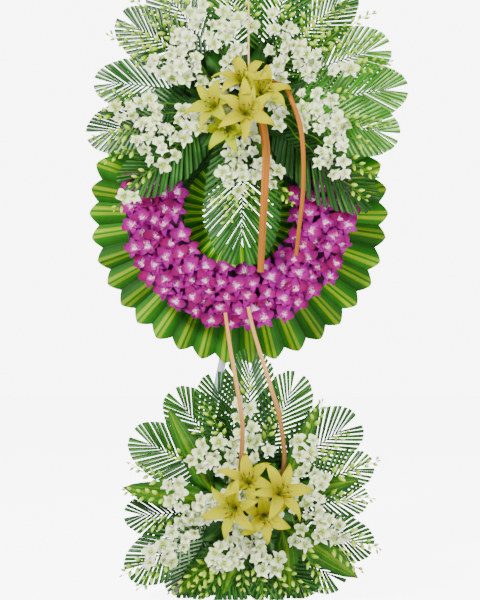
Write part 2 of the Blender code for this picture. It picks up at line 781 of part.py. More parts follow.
def orchid_stem(path, foot, first, last, half):
    """Open blooms to both sides of the inner stem, and buds along the rest of it."""
    pieces = [stem_piece(path, foot, half)]
    blooms = max(2, round((last - first) / WHITE_SPACING) + 1)
    for i in range(blooms):
        t = first + (last - first) * i / (blooms - 1)
        t = min(0.97, t / path.length)
        sign = 1 if i % 2 else -1
        point, _, side, front = path.frame(t)
        lateral = side * sign
        centre = point + lateral * WHITE_SIDE + front * (WHITE_FORWARD + spread(0.001))
        tilt = Vector((spread(WHITE_TILT), 0, spread(WHITE_TILT)))
        facing = (front + lateral * WHITE_TURN_OUT + tilt).normalized()
        outline = star_outline(centre, facing, spread(BLOOM_ROLL), WHITE_BLOOM)
        pieces.append(lens("bloom", outline, centre + facing * WHITE_CUP, point))
    reach = last / path.length + 0.9 * BUD_SPACING / path.length
    sign = 1
    while reach < 0.94:
        point, along, side, front = path.frame(reach)
        sideways = side * sign + front * (0.4 + spread(0.27))
        direction = (along + sideways).normalized()
        pieces.append(bud_piece(point, direction, BUD_LENGTH * (1.1 - 0.4 * reach), BUD_HALF))
        reach += BUD_SPACING / path.length
        sign = -sign
    point, along, _, _ = path.frame(0.985)
    pieces.append(bud_piece(point, along, BUD_LENGTH * 0.7, BUD_HALF * 0.8))
    return pieces


def make_whites(spray, nodes, name, finish):
    for k, (depth, stems) in enumerate(nodes):
        pieces = []
        for angle, first, last, tip, bend in stems:
            if not pieces:
                foot = spray.foot(angle, depth)
                path = Path(foot[1], spray.polar(tip, angle, depth), bend, WHITE_ARCH)
                start = path.at(0.02)
                half = FOOT_HALF
            else:
                foot = None
                path = Path(start, spray.polar(tip, angle, depth), bend, WHITE_ARCH)
                half = FOOT_HALF * BRANCH_SHARE
            offset = tip - path.length
            pieces += orchid_stem(path, foot, first - offset, last - offset, half)
        place(f"{name}_{k + 1}", pieces, finish)


def broad_leaf(path, foot, half_width):
    """A pointed leaf folded along its rib, on a short stalk."""
    size = FOOT_HALF if foot[2] else FOOT_HALF * BRANCH_SHARE
    beside = (foot[1] - foot[0]).normalized().cross(FRONT).normalized()
    left = [end + beside * size for end in foot[:2]]
    right = [end - beside * size for end in foot[:2]]
    ribs = []
    for t in LEAF_STATIONS:
        point, _, side, front = path.frame(t)
        wide = half_width * math.sin(math.pi * (0.12 + 0.86 * t)) ** 0.8
        left.append(point + side * wide - front * LEAF_PLEAT)
        right.append(point - side * wide - front * LEAF_PLEAT)
        ribs.append(point)
    outline = left + [path.at(1)] + right[::-1]
    edge, top = len(outline), len(left)
    halves = [size if i % (edge - 1) < 2 or i == edge - 2 else LEAF_HALF_THICKNESS for i in range(edge)]
    halves += [LEAF_HALF_THICKNESS] * len(ribs)
    middle = outline + ribs
    points = [point + FRONT * half for point, half in zip(middle, halves)]
    points += [point - FRONT * half for point, half in zip(middle, halves)]

    def mate(i):
        return edge - 1 - i

    triangles = [(0, 1, mate(1)), (0, mate(1), mate(0))]
    triangles += [(1, 2, edge), (1, edge, mate(1)), (mate(1), edge, mate(2))]
    for i in range(2, top - 1):
        a, b = edge + i - 2, edge + i - 1
        triangles += [(i, i + 1, b), (i, b, a), (mate(i), a, b), (mate(i), b, mate(i + 1))]
    triangles += [(top - 1, top, len(middle) - 1), (mate(top - 1), len(middle) - 1, top)]
    return closed_object("leaf", points, both_faces(triangles, len(middle), range(edge)))


def make_broad_leaves(spray, nodes, finish):
    depth = LAYERS[4]
    for k, leaves in enumerate(nodes):
        pieces = []
        for angle, length, half_width in leaves:
            if not pieces:
                inner, outer = spray.foot(angle, depth)
                path = Path(outer, spray.polar(length, angle, depth), 0.006, FRONT_FROND_ARCH)
                start = path.at(0.02)
                foot = (inner, outer, True)
            else:
                path = Path(start, spray.polar(length, angle, depth), 0.006, FRONT_FROND_ARCH)
                foot = (start, path.at(0.06), False)
            pieces.append(broad_leaf(path, foot, half_width))
        place(f"cordyline_leaf_{k + 1}", pieces, finish)


def lily_head(heart, facing, roll, length):
    """Six petals in one thin funnel, both of its faces split alike."""
    across = facing.cross(Vector((0, 0, 1))).normalized()
    over = across.cross(facing).normalized()
    shell = [(heart, facing)]
    slopes = []
    previous = (0.0, 0.0)
    for station in PETAL_STATIONS:
        run, rise = station[0] - previous[0], station[1] - previous[1]
        slopes.append((run / math.hypot(run, rise), rise / math.hypot(run, rise)))
        previous = station

    def add(turn, station, sideways, lift):
        outward = across * math.cos(turn) + over * math.sin(turn)
        beside = outward.cross(facing)
        out, forward = (share * length for share in PETAL_STATIONS[station])
        run, rise = slopes[station]
        shell.append((heart + outward * out + facing * (forward + lift) + beside * sideways,
                      facing * run - outward * rise))

    for k in range(6):
        turn = math.radians(roll + 60 * k)
        lift = PETAL_LIFT if k % 2 else 0.0
        add(turn - math.pi / 6, 0, 0.0, 0.0)
        add(turn, 1, -PETAL_HALF_WIDTH, lift)
        add(turn, 2, 0.0, lift)
        add(turn, 1, PETAL_HALF_WIDTH, lift)
    triangles = []
    for k in range(6):
        notch, left, tip, right = (1 + 4 * k + i for i in range(4))
        following = 1 + 4 * ((k + 1) % 6)
        triangles += [(0, notch, following), (notch, left, following)]
        triangles += [(left, right, following), (left, tip, right)]
    count = len(shell)
    points = [point + normal * PETAL_HALF_THICKNESS for point, normal in shell]
    points += [point - normal * PETAL_HALF_THICKNESS for point, normal in shell]
    return closed_object("lily", points, both_faces(triangles, count, range(1, count)))


def make_lilies(spray, lilies, name, finish):
    pieces = []
    right, up = Vector((1, 0, 0)), Vector((0, 0, 1))
    reach_x = FOAM_HALF_WIDTH - LILY_EDGE_MARGIN
    reach_z = FOAM_HALF_HEIGHT - LILY_EDGE_MARGIN
    for x, z, standoff, lean_x, lean_z, roll, length in lilies:
        foot_x = spray.x + max(-reach_x, min(reach_x, x - spray.x))
        foot_z = spray.z + max(-reach_z, min(reach_z, z - spray.z))
        inner = Vector((foot_x, spray.foam_front + LILY_STEM_DEPTH, foot_z))
        mouth = Vector((foot_x, spray.foam_front - 0.002, foot_z))
        heart = Vector((x, spray.foam_front - standoff, z))
        facing = Vector((lean_x, -1, lean_z)).normalized()
        half = LILY_STEM_HALF
        rings = [square_ring(point, right, up, half) for point in (inner, mouth)]
        rings.append(square_ring(heart, right, up, half * 1.2))
        rings.append(square_ring(heart + facing * PISTIL_REACH, right, up, STEM_TIP_HALF))
        pieces.append(lofted("stem", rings))
        cut = half + FOOT_CLEARANCE
        ends = (inner + Vector((0, FOOT_CLEARANCE, 0)), mouth - Vector((0, 0.004, 0)))
        spray.cutters.append(lofted("hole", [square_ring(end, right, up, cut) for end in ends]))
        pieces.append(lily_head(heart, facing, roll, length))
    place(name, pieces, finish)


def make_strips(spray, strips, first, finish):
    """Bent rattan strips, each with its root in a slot cut the way the strip leaves the foam."""
    right, up = Vector((1, 0, 0)), Vector((0, 0, 1))
    for k, (width, route) in enumerate(strips):
        points = [Vector(point) for point in route]
        leaving = (points[3] - points[1]).cross(FRONT)
        flat = right if abs(leaving.x) >= abs(leaving.z) else up
        thin = FRONT.cross(flat)
        rings = [square_ring(point, flat, thin, width / 2, STRIP_HALF_THICKNESS) for point in points[:2]]
        side = flat
        for i, point in enumerate(points[2:], 2):
            along = (points[min(i + 1, len(points) - 1)] - points[i - 1]).normalized()
            turned = along.cross(FRONT).normalized()
            side = turned if turned.dot(side) >= 0 else -turned
            front = along.cross(side).normalized()
            rings.append(square_ring(point, side, front, width / 2, STRIP_HALF_THICKNESS))
        deep = points[0] - FRONT * STRIP_SLOT
        half, thick = width / 2 + STRIP_SLOT, STRIP_HALF_THICKNESS + STRIP_SLOT
        slot = [square_ring(end, flat, thin, half, thick) for end in (deep, points[1])]
        spray.cutters.append(lofted("slot", slot))
        name = f"rattan_strip_{first + k}"
        place(name, [lofted(name, rings)], finish)


def main():
    clear_scene()
    grey = material("painted_grey_board", "C9CED2", 0.6)
    steel = material("painted_pale_steel", "B9C4CE", 0.45, 0.3)
    wire = material("galvanised_wire", "8E9499", 0.4, 0.9)
    straw = material("bound_straw", "6E7A3A", 0.9)
    foam = material("floral_foam", "3F7A4C", 0.95)
    rim = material("striped_cordyline_rim", "3E7A18", 0.4)
    broad = material("striped_cordyline_leaf", "5C9A1E", 0.4)
    palm = material("palm_leaf", "2A6E22", 0.45)
    purple = material("purple_orchid", "B5119C", 0.5)
    white = material("white_orchid", "E8EAE0", 0.5)
    yellow = material("yellow_lily", "EEDA10", 0.45)
    rattan = material("rattan", "DD9A58", 0.5)

    make_stand(grey, steel)
    make_wire_frame(wire)
    make_straw_ring(straw)
    make_leaf_rim(rim)
    make_orchid_band(purple)

    upper = Spray(UPPER_X, UPPER_Z, STRAW_FRONT - GAP)
    make_fronds(upper, FRONDS_UPPER, "palm_upper", palm)
    make_whites(upper, WHITES_UPPER, "white_orchid_upper", white)
    make_lilies(upper, LILIES_UPPER, "lilies_upper", yellow)
    make_strips(upper, STRIPS_UPPER, 1, rattan)
    upper.make_holder(RING_Z + 0.19, steel, foam, "upper")

    lower = Spray(LOWER_X, LOWER_Z, PLINTH_FRONT - GAP)
    make_fronds(lower, FRONDS_LOWER, "palm_lower", palm)
    make_whites(lower, WHITES_LOWER, "white_orchid_lower", white)
    make_broad_leaves(lower, LEAVES_LOWER, broad)
    make_lilies(lower, LILIES_LOWER, "lilies_lower", yellow)
    make_strips(lower, STRIPS_LOWER, 1 + len(STRIPS_UPPER), rattan)
    lower.make_holder(0.04, steel, foam, "lower")


main()
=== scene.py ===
import math

import bpy
import numpy as np
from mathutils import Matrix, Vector


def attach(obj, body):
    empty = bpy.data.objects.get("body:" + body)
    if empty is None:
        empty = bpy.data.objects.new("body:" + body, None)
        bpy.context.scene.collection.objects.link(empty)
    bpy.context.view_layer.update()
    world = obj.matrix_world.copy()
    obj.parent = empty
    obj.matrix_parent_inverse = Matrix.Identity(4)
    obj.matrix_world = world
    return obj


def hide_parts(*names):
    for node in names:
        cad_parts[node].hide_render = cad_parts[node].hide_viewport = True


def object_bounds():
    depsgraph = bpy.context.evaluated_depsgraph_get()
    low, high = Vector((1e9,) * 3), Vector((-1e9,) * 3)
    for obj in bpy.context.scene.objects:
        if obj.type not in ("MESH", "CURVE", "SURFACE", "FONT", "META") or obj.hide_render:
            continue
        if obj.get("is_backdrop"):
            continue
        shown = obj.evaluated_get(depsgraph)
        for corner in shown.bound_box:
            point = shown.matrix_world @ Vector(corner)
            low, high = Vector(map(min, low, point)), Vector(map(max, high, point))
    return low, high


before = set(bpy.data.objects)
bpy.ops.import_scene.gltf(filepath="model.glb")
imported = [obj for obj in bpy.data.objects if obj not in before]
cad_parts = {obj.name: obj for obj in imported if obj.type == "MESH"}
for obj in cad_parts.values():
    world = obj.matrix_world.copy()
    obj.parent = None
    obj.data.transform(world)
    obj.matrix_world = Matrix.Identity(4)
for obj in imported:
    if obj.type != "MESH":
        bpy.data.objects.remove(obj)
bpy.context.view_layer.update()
frontAxis = np.array([0.0, -1.0, 0.0])
upAxis = np.array([0.0, 0.0, 1.0])
rng = np.random.default_rng(7)


# Geometry helpers


def unit(v):
    # The same directions, one long.
    return v / np.maximum(np.linalg.norm(v, axis=-1, keepdims=True), 1e-12)


def spread(low, high, shape=None):
    # Even random draws between two values.
    return rng.uniform(low, high, shape)


def each(low, high, count):
    # An even draw for each repeat, shaped to scale its whole grid.
    return spread(low, high, count)[:, None, None]


def gridUv(u, v):
    # Every pair of the two lists, row by row.
    return np.stack([part.ravel() for part in np.meshgrid(u, v, indexing="ij")], 1)


class Path:
    # A stalk's route: a quadratic arc in x and z that leans back with the square of its reach.
    def __init__(self, start, tip, bend, arch, step=0.0):
        self.start, self.tip, self.arch, self.step = start, tip, arch, step
        flat = np.array([tip[0] - start[0], 0.0, tip[2] - start[2]])
        self.length = float(np.linalg.norm(flat))
        self.side = unit(np.cross(flat, frontAxis))
        self.control = (start + tip) / 2 - self.side * bend

    def at(self, t):
        t = np.asarray(t, float)[..., None]
        p = self.start * (1 - t) ** 2 + self.control * (2 * t * (1 - t)) + self.tip * t ** 2
        lean = self.arch * (t * self.length) ** 2 - self.step * (1 - (1 - t) ** 3)
        p[..., 1] = self.start[1] + lean[..., 0]
        return p

    def frame(self, t):
        t = np.asarray(t, float)
        along = unit(self.at(np.minimum(1, t + 0.01)) - self.at(np.maximum(0, t - 0.01)))
        side = unit(np.cross(along, frontAxis))
        return self.at(t), along, side, unit(np.cross(side, along))


class Surface:
    # Collects closed repeats, each with its UV, tone and material number.
    def __init__(self):
        self.points, self.faces, self.uvs, self.tones, self.kinds = [], [], [], [], []
        self.count = 0

    def add(self, points, faces, uv, tone, kind):
        k, p = points.shape[:2]
        shift = (np.arange(k) * p + self.count)[:, None, None]
        self.points.append(points.reshape(-1, 3))
        self.faces.append((faces[None] + shift).reshape(-1, 4))
        self.uvs.append(np.broadcast_to(uv, (k, p, 2)).reshape(-1, 2))
        self.tones.append(np.repeat(np.broadcast_to(tone, (k,)), p))
        self.kinds.append(np.full(k * len(faces), kind))
        self.count += k * p


def sheetFaces(n, m):
    # Quads of a closed sheet of n rows and m columns: its front, its back and the strip round its edge.
    i, j = np.meshgrid(np.arange(n - 1), np.arange(m - 1), indexing="ij")
    a = (i * m + j).ravel()
    front = np.stack([a, a + m, a + m + 1, a + 1], 1)
    rim = np.concatenate([np.arange(m), np.arange(1, n) * m + m - 1,
                          (n - 1) * m + np.arange(m - 2, -1, -1), np.arange(n - 2, 0, -1) * m])
    following = np.roll(rim, -1)
    edge = np.stack([rim, following, following + n * m, rim + n * m], 1)
    return np.concatenate([front, front[:, ::-1] + n * m, edge])


def addSheets(surface, p, thick, tone, kind):
    # A grid p of repeats, rows and columns becomes blades whose two faces lie thick apart.
    k, n, m = p.shape[:3]
    normal = unit(np.cross(np.gradient(p, axis=1), np.gradient(p, axis=2)))
    both = np.concatenate([(p + normal * thick / 2).reshape(k, n * m, 3),
                           (p - normal * thick / 2).reshape(k, n * m, 3)], 1)
    uv = gridUv(np.linspace(0, 1, n), np.linspace(0, 1, m))
    surface.add(both, sheetFaces(n, m), np.concatenate([uv, uv]), tone, kind)


def tubeFaces(n, s):
    # Quads of n rings of s points, and of the caps at both ends.
    i, j = np.meshgrid(np.arange(n - 1), np.arange(s), indexing="ij")
    a, b = (i * s + j).ravel(), (i * s + (j + 1) % s).ravel()
    wall = np.stack([a, a + s, b + s, b], 1)
    cap = np.array([(0, c, c + 1, c + 2) for c in range(1, s - 2, 2)])
    return np.concatenate([wall, cap, cap[:, ::-1] + (n - 1) * s])


def addTubes(surface, centre, side, front, radius, tone, kind, sides=6, span=(0.0, 1.0)):
    # Rings round each centre line, closed at both ends. Span is the part of the material's length that shows.
    k, n = centre.shape[:2]
    turn = 2 * np.pi * np.arange(sides) / sides
    radius = np.broadcast_to(radius, (k, n))[..., None, None]
    across = side[..., None, :] * np.cos(turn)[:, None] + front[..., None, :] * np.sin(turn)[:, None]
    points = (centre[..., None, :] + across * radius).reshape(k, n * sides, 3)
    uv = gridUv(np.linspace(*span, n), np.arange(sides) / sides)
    surface.add(points, tubeFaces(n, sides), uv, tone, kind)


def axesFor(direction):
    # Two directions square to each given one.
    side = unit(np.cross(direction, frontAxis + 0.013))
    return side, unit(np.cross(side, direction))


def straightTubes(surface, start, end, radii, tone, kind, sides=4):
    # Slim straight stalks from each start to each end.
    steps = np.linspace(0, 1, len(radii))
    centre = start[:, None] + (end - start)[:, None] * steps[None, :, None]
    side, front = axesFor(unit(end - start))
    addTubes(surface, centre, side[:, None], front[:, None], np.array(radii)[None], tone, kind, sides)


def linked(name, data):
    # A new object, in the scene.
    made = bpy.data.objects.new(name, data)
    bpy.context.scene.collection.objects.link(made)
    return made


triangles = {}


def makePiece(spec, surface):
    # One mesh of all the repeats, which rides on the root and stands for its CAD nodes.
    points = np.concatenate(surface.points).astype(np.float32)
    faces = np.concatenate(surface.faces).astype(np.int32)
    mesh = bpy.data.meshes.new(spec["name"])
    mesh.vertices.add(len(points))
    mesh.vertices.foreach_set("co", points.ravel())
    mesh.loops.add(faces.size)
    mesh.loops.foreach_set("vertex_index", faces.ravel())
    mesh.polygons.add(len(faces))
    mesh.polygons.foreach_set("loop_start", np.arange(0, faces.size, 4, dtype=np.int32))
    for made in spec["materials"]:
        mesh.materials.append(made)
    mesh.polygons.foreach_set("material_index", np.concatenate(surface.kinds).astype(np.int32))
    mesh.update(calc_edges=True)
    layer = mesh.uv_layers.new(name="surface")
    layer.uv.foreach_set("vector", np.concatenate(surface.uvs)[faces.ravel()].astype(np.float32).ravel())
    tone = mesh.attributes.new("tone", "FLOAT", "POINT")
    tone.data.foreach_set("value", np.concatenate(surface.tones).astype(np.float32))
    mesh.shade_smooth()
    mesh.set_sharp_from_angle(angle=math.radians(spec.get("sharp", 55)))
    piece = linked(spec["name"], mesh)
    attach(piece, "root")
    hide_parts(*spec["replaces"])
    triangles[spec["name"]] = 2 * len(faces)


# Materials


def colour(code):
    # An sRGB hex code as linear red, green and blue.
    parts = [int(code[i:i + 2], 16) / 255 for i in (1, 3, 5)]
    return (*[p / 12.92 if p <= 0.04045 else ((p + 0.055) / 1.055) ** 2.4 for p in parts], 1)


def node(tree, kind, settings=None, **inputs):
    # Adds a shader node; an input named i0, i1 and so on is taken by its number.
    made = tree.nodes.new("ShaderNode" + kind)
    for key, value in (settings or {}).items():
        setattr(made, key, value)
    for key, value in inputs.items():
        socket = made.inputs[int(key[1:])] if key[1:].isdigit() else made.inputs[key.replace("_", " ")]
        if isinstance(value, bpy.types.NodeSocket):
            tree.links.new(value, socket)
        else:
            socket.default_value = value
    return made


def ramp(tree, value, stops):
    made = node(tree, "ValToRGB", Fac=value)
    while len(made.color_ramp.elements) < len(stops):
        made.color_ramp.elements.new(0.5)
    for element, (place, code) in zip(made.color_ramp.elements, stops):
        element.position = place
        element.color = colour(code)
    return made.outputs["Color"]


def math2(tree, operation, a, b=0.0, clamp=False):
    return node(tree, "Math", {"operation": operation, "use_clamp": clamp}, i0=a, i1=b).outputs[0]


def swing(tree, value, size):
    # A noise or tone from 0 to 1, centred on 0.
    return math2(tree, "MULTIPLY", math2(tree, "SUBTRACT", value, 0.5), size)


def mixed(tree, share, a, b, blend="MIX"):
    made = node(tree, "Mix", {"data_type": "RGBA", "blend_type": blend}, i0=share, i6=a, i7=b)
    return made.outputs[2]


def newMaterial(name, **values):
    made = bpy.data.materials.new(name)
    made.use_nodes = True
    shader = made.node_tree.nodes["Principled BSDF"]
    for key, value in values.items():
        shader.inputs[key.replace("_", " ")].default_value = value
    return made, made.node_tree, shader


def surfaceInputs(tree):
    # Along and across a blade from its UV, and the tone of each repeat.
    uv = node(tree, "UVMap", {"uv_map": "surface"}).outputs[0]
    split = node(tree, "SeparateXYZ", i0=uv)
    tone = node(tree, "Attribute", {"attribute_name": "tone"}).outputs["Fac"]
    return split.outputs[0], split.outputs[1], tone


def grain(tree, size, detail=3.0, stretch=(1, 1, 1)):
    # Noise whose features are about size metres across.
    place = node(tree, "TexCoord").outputs["Object"]
    place = node(tree, "Mapping", i0=place, i3=tuple(s / size for s in stretch)).outputs[0]
    return node(tree, "TexNoise", Vector=place, Scale=1.0, Detail=detail).outputs["Fac"]


def bump(tree, shader, height, distance, strength=0.6):
    made = node(tree, "Bump", Height=height, Distance=distance, Strength=strength)
    tree.links.new(made.outputs[0], shader.inputs["Normal"])


def streaks(tree, along, across, tone, lengthwise, crosswise):
    # Noise drawn out along a blade, another stretch of it for each leaf.
    x = math2(tree, "MULTIPLY", along, lengthwise)
    y = math2(tree, "MULTIPLY", across, crosswise)
    z = math2(tree, "MULTIPLY", tone, 91.0)
    place = node(tree, "CombineXYZ", i0=x, i1=y, i2=z).outputs[0]
    return node(tree, "TexNoise", Vector=place, Scale=1.0, Detail=2.0).outputs["Fac"]


def leafMaterial(name, spec):
    # Bands across the blade, shifted by streaky noise, darker or lighter with each leaf, with painted sheen
    # in pale patches and, where asked, painted light towards the root.
    made, tree, shader = newMaterial(name, Roughness=spec.get("roughness", 0.4),
                                     Specular_IOR_Level=spec.get("gloss", 0.22))
    along, across, tone = surfaceInputs(tree)
    fine = streaks(tree, along, across, tone, 2.0, 26.0)
    wide = streaks(tree, along, across, tone, 0.7, 5.0)
    place = math2(tree, "ADD", across, swing(tree, tone, spec.get("wander", 0.0)))
    place = math2(tree, "ADD", place, swing(tree, wide, spec.get("waver", 0.0)))
    base = ramp(tree, place, spec["bands"])
    light = math2(tree, "ADD", math2(tree, "MULTIPLY", tone, 0.6), math2(tree, "MULTIPLY", fine, 0.6), True)
    shades = ramp(tree, light, [(0.2, spec["dark"]), (0.9, "#ffffff")])
    base = mixed(tree, spec.get("shade", 0.6), base, shades, "MULTIPLY")
    # Painted light: the blade is dodged lighter towards its root, where the leaf lies in shade.
    if "root" in spec:
        base = mixed(tree, ramp(tree, along, spec["root"]), base, colour("#c8c8c8"), "DODGE")
    # Painted sheen: a paler colour in noise patches, across the blade where the lane lets it, standing for
    # light glancing off the leaf.
    if "paintedSheen" in spec:
        sheenPatches = ramp(tree, grain(tree, spec["sheenPatch"], 2.0), [(0.42, "#000000"), (0.60, "#ffffff")])
        paintedSheenLane = ramp(tree, across, spec["paintedSheenLane"])
        share = mixed(tree, 1.0, sheenPatches, paintedSheenLane, "MULTIPLY")
        share = math2(tree, "MULTIPLY", math2(tree, "MULTIPLY", share, fine), spec["paintedSheenShare"], True)
        base = mixed(tree, share, base, colour(spec["paintedSheen"]))
    tree.links.new(base, shader.inputs["Base Color"])
    ribs = math2(tree, "SINE", math2(tree, "MULTIPLY", across, spec["ribs"] * math.pi * 2))
    bump(tree, shader, math2(tree, "ADD", ribs, fine), spec["ribHeight"])
    return made


def petalMaterial(name, spec):
    # Colours from the throat to the tip, with faint veins along the petal.
    made, tree, shader = newMaterial(name, Roughness=spec.get("roughness", 0.5), Subsurface_Scale=0.004,
                                     Subsurface_Weight=spec.get("soft", 0.1),
                                     Specular_IOR_Level=spec.get("gloss", 0.2))
    along, across, tone = surfaceInputs(tree)
    fine = streaks(tree, along, across, tone, 1.5, 12.0)
    place = math2(tree, "ADD", along, swing(tree, fine, spec.get("waver", 0.25)))
    base = mixed(tree, tone, ramp(tree, place, spec["stops"]), ramp(tree, place, spec["others"]))
    veins = math2(tree, "SINE", math2(tree, "MULTIPLY", across, 2 * math.pi * 7))
    veined = math2(tree, "MULTIPLY", math2(tree, "ADD", veins, 1.0), spec["veinShare"])
    base = mixed(tree, veined, base, colour(spec["vein"]))
    tree.links.new(base, shader.inputs["Base Color"])
    bump(tree, shader, veins, 0.0002, 0.4)
    return made


def grainyMaterial(name, spec):
    # Two colours mixed by noise, with the same noise raised.
    made, tree, shader = newMaterial(name, Roughness=spec["roughness"], Metallic=spec.get("metallic", 0.0))
    noise = grain(tree, spec["size"], 4.0, spec.get("stretch", (1, 1, 1)))
    base = ramp(tree, noise, [(0.3, spec["first"]), (0.7, spec["second"])])
    tree.links.new(base, shader.inputs["Base Color"])
    bump(tree, shader, noise, spec.get("height", 0.0004), 0.4)
    return made


def stripMaterial(name, spec):
    # Fibres drawn out along the strip, darker towards its foot where the ends say.
    made, tree, shader = newMaterial(name, Roughness=0.55, Specular_IOR_Level=0.25)
    along, across, tone = surfaceInputs(tree)
    fibres = streaks(tree, along, across, tone, 3.0, 9.0)
    base = mixed(tree, 1.0, ramp(tree, fibres, spec["stops"]), ramp(tree, along, spec["ends"]), "MULTIPLY")
    tree.links.new(base, shader.inputs["Base Color"])
    bump(tree, shader, fibres, 0.0004)
    return made


# Areca leaflets are thin and waxy: a soft gloss, a pale rib, and painted sheen in pale silvery patches on one
# side of the rib.
paintedSheenSide = [(0.02, "#000000"), (0.20, "#ffffff"), (0.42, "#ffffff"), (0.5, "#202020"), (0.62, "#000000"),
            (1.0, "#000000")]


def palmMaterial(name, edge, blade, groove, rib, spec):
    bands = [(0.0, edge), (0.3, blade), (0.47, groove), (0.5, rib), (0.53, groove), (1.0, edge)]
    return leafMaterial(name, {"bands": bands, "shade": 0.8, "paintedSheenLane": paintedSheenSide, "ribs": 5, "ribHeight": 0.0003,
                               **spec})


# The four palm finishes are one leaf painted for how light falls on each frond: a plain deep green, a
# brighter painted-lit copy, a darker painted-shade copy, and a copy with a stronger painted silvery sheen.
palmDeep = palmMaterial("palmLeafDeep", "#164806", "#24660e", "#1e5a0a", "#428826", {
    "dark": "#647a4c", "sheenPatch": 0.07, "paintedSheen": "#6ca44c", "paintedSheenShare": 1.1})
palmPaintedSheen = palmMaterial("palmLeafPaintedSheen", "#16460e", "#226216", "#1c5610", "#4c843e", {
    "dark": "#647a56", "sheenPatch": 0.09, "paintedSheen": "#a4cc98", "paintedSheenShare": 1.4, "roughness": 0.36, "gloss": 0.3})
palmShade = palmMaterial("palmLeafShaded", "#134206", "#20600c", "#1a5208", "#388020", {
    "dark": "#607844", "sheenPatch": 0.07, "paintedSheen": "#549034", "paintedSheenShare": 0.9})
palmLit = palmMaterial("palmLeafLit", "#307c0a", "#4ca41a", "#409414", "#8cc644", {
    "dark": "#749052", "sheenPatch": 0.08, "paintedSheen": "#b0e07c", "paintedSheenShare": 1.7})
# A frond's rib is smooth and fleshy.
ribGreen = leafMaterial("palmRib", {
    "bands": [(0.0, "#1c4a12"), (1.0, "#1c4a12")], "dark": "#788866", "shade": 0.6, "ribs": 3,
    "ribHeight": 0.0002})

# Striped cordyline leaves are leathery: nearly matt, with fine lengthwise pleats that break up the light.
evenLane = [(0.0, "#808080"), (1.0, "#808080")]
# Painted light: the rim leaves are dodged lighter towards their inner ends (root), where the orchid band and
# fronds shade them. Rim and broad leaves both take painted sheen in pale green patches.
rimGreen = leafMaterial("stripedRimLeaf", {
    "bands": [(0.0, "#165004"), (0.24, "#28720c"), (0.28, "#1e5e06"), (0.31, "#6c8e00"), (0.38, "#8cae00"),
              (0.46, "#84a600"), (0.48, "#2c7408"), (0.55, "#287006"), (0.57, "#7ea000"), (0.67, "#709200"),
              (0.70, "#246c08"), (1.0, "#165004")],
    "wander": 0.26, "waver": 0.06, "dark": "#627c46", "shade": 0.75, "sheenPatch": 0.06,
    "paintedSheenLane": evenLane, "paintedSheen": "#48962c", "paintedSheenShare": 0.5, "ribs": 14, "ribHeight": 0.0004,
    "roughness": 0.5, "gloss": 0.12, "root": [(0.0, "#ffffff"), (0.24, "#ffffff"), (0.5, "#000000")]})
broadGreen = leafMaterial("stripedBroadLeaf", {
    "bands": [(0.0, "#1e5c06"), (0.16, "#246608"), (0.20, "#588200"), (0.25, "#2a700a"), (0.36, "#286c08"),
              (0.39, "#6a8e00"), (0.47, "#789a04"), (0.5, "#347808"), (0.53, "#6e9200"), (0.58, "#2a700a"),
              (0.70, "#246408"), (0.74, "#608600"), (0.80, "#1e5c08"), (1.0, "#165004")],
    "wander": 0.12, "waver": 0.10, "dark": "#708656", "shade": 0.7, "sheenPatch": 0.05,
    "paintedSheenLane": evenLane, "paintedSheen": "#7cae34", "paintedSheenShare": 0.8, "ribs": 14, "ribHeight": 0.0004,
    "roughness": 0.42, "gloss": 0.18})
stemGreen = leafMaterial("orchidStem", {
    "bands": [(0.0, "#4c7c14"), (1.0, "#4c7c14")], "dark": "#94a57c", "shade": 0.5, "ribs": 3,
    "ribHeight": 0.0001, "roughness": 0.45})
wrapGreen = leafMaterial("leafWrappedStraw", {
    "bands": [(0.0, "#0e3808"), (0.5, "#16500c"), (1.0, "#0c3006")], "wander": 0.2, "dark": "#6a7a5a",
    "shade": 0.7, "ribs": 10, "ribHeight": 0.0005, "roughness": 0.45})

# Dendrobium petals are thin and velvety: hardly any gloss, pale at the throat, with faint veins.
purplePetal = petalMaterial("purpleOrchidPetal", {
    "stops": [(0.0, "#fdf4fb"), (0.20, "#f0a0de"), (0.38, "#a41a92"), (0.70, "#8e0480"), (1.0, "#80046e")],
    "others": [(0.0, "#f0c8e6"), (0.10, "#c03c9c"), (0.20, "#86005a"), (0.65, "#720044"), (1.0, "#580030")],
    "vein": "#6c0048", "veinShare": 0.12, "soft": 0.02, "waver": 0.50, "roughness": 0.65, "gloss": 0.08})
purpleLip = petalMaterial("purpleOrchidLip", {
    "stops": [(0.0, "#f6ecd4"), (0.40, "#f2d0ea"), (0.62, "#94006c"), (1.0, "#740050")],
    "others": [(0.0, "#f0e0dc"), (0.50, "#e8a8d8"), (0.75, "#a0047c"), (1.0, "#800058")],
    "vein": "#680048", "veinShare": 0.12, "soft": 0.03, "gloss": 0.12})
# White petals darken to green towards the throat: partly their own green throat, partly painted shade where
# the petals meet. Their second colours, taken by tone and most by the wide petals, are painted greenish
# shade.
whitePetal = petalMaterial("whiteOrchidPetal", {
    "stops": [(0.0, "#6c9008"), (0.16, "#a8c048"), (0.32, "#dce8a8"), (0.55, "#f8fae4"), (1.0, "#fcfdf0")],
    "others": [(0.0, "#5c8404"), (0.24, "#98b42c"), (0.46, "#cadc88"), (0.72, "#e8efc0"), (1.0, "#e0e9b0")],
    "vein": "#b8cc78", "veinShare": 0.16, "soft": 0.04, "roughness": 0.55})
whiteLip = petalMaterial("whiteOrchidLip", {
    "stops": [(0.0, "#5c8008"), (0.35, "#88a820"), (0.75, "#e0e8b8"), (1.0, "#f4f6e6")],
    "others": [(0.0, "#547808"), (0.45, "#80a01c"), (0.85, "#ccdc90"), (1.0, "#e8eecc")],
    "vein": "#7c9c20", "veinShare": 0.14, "soft": 0.06})
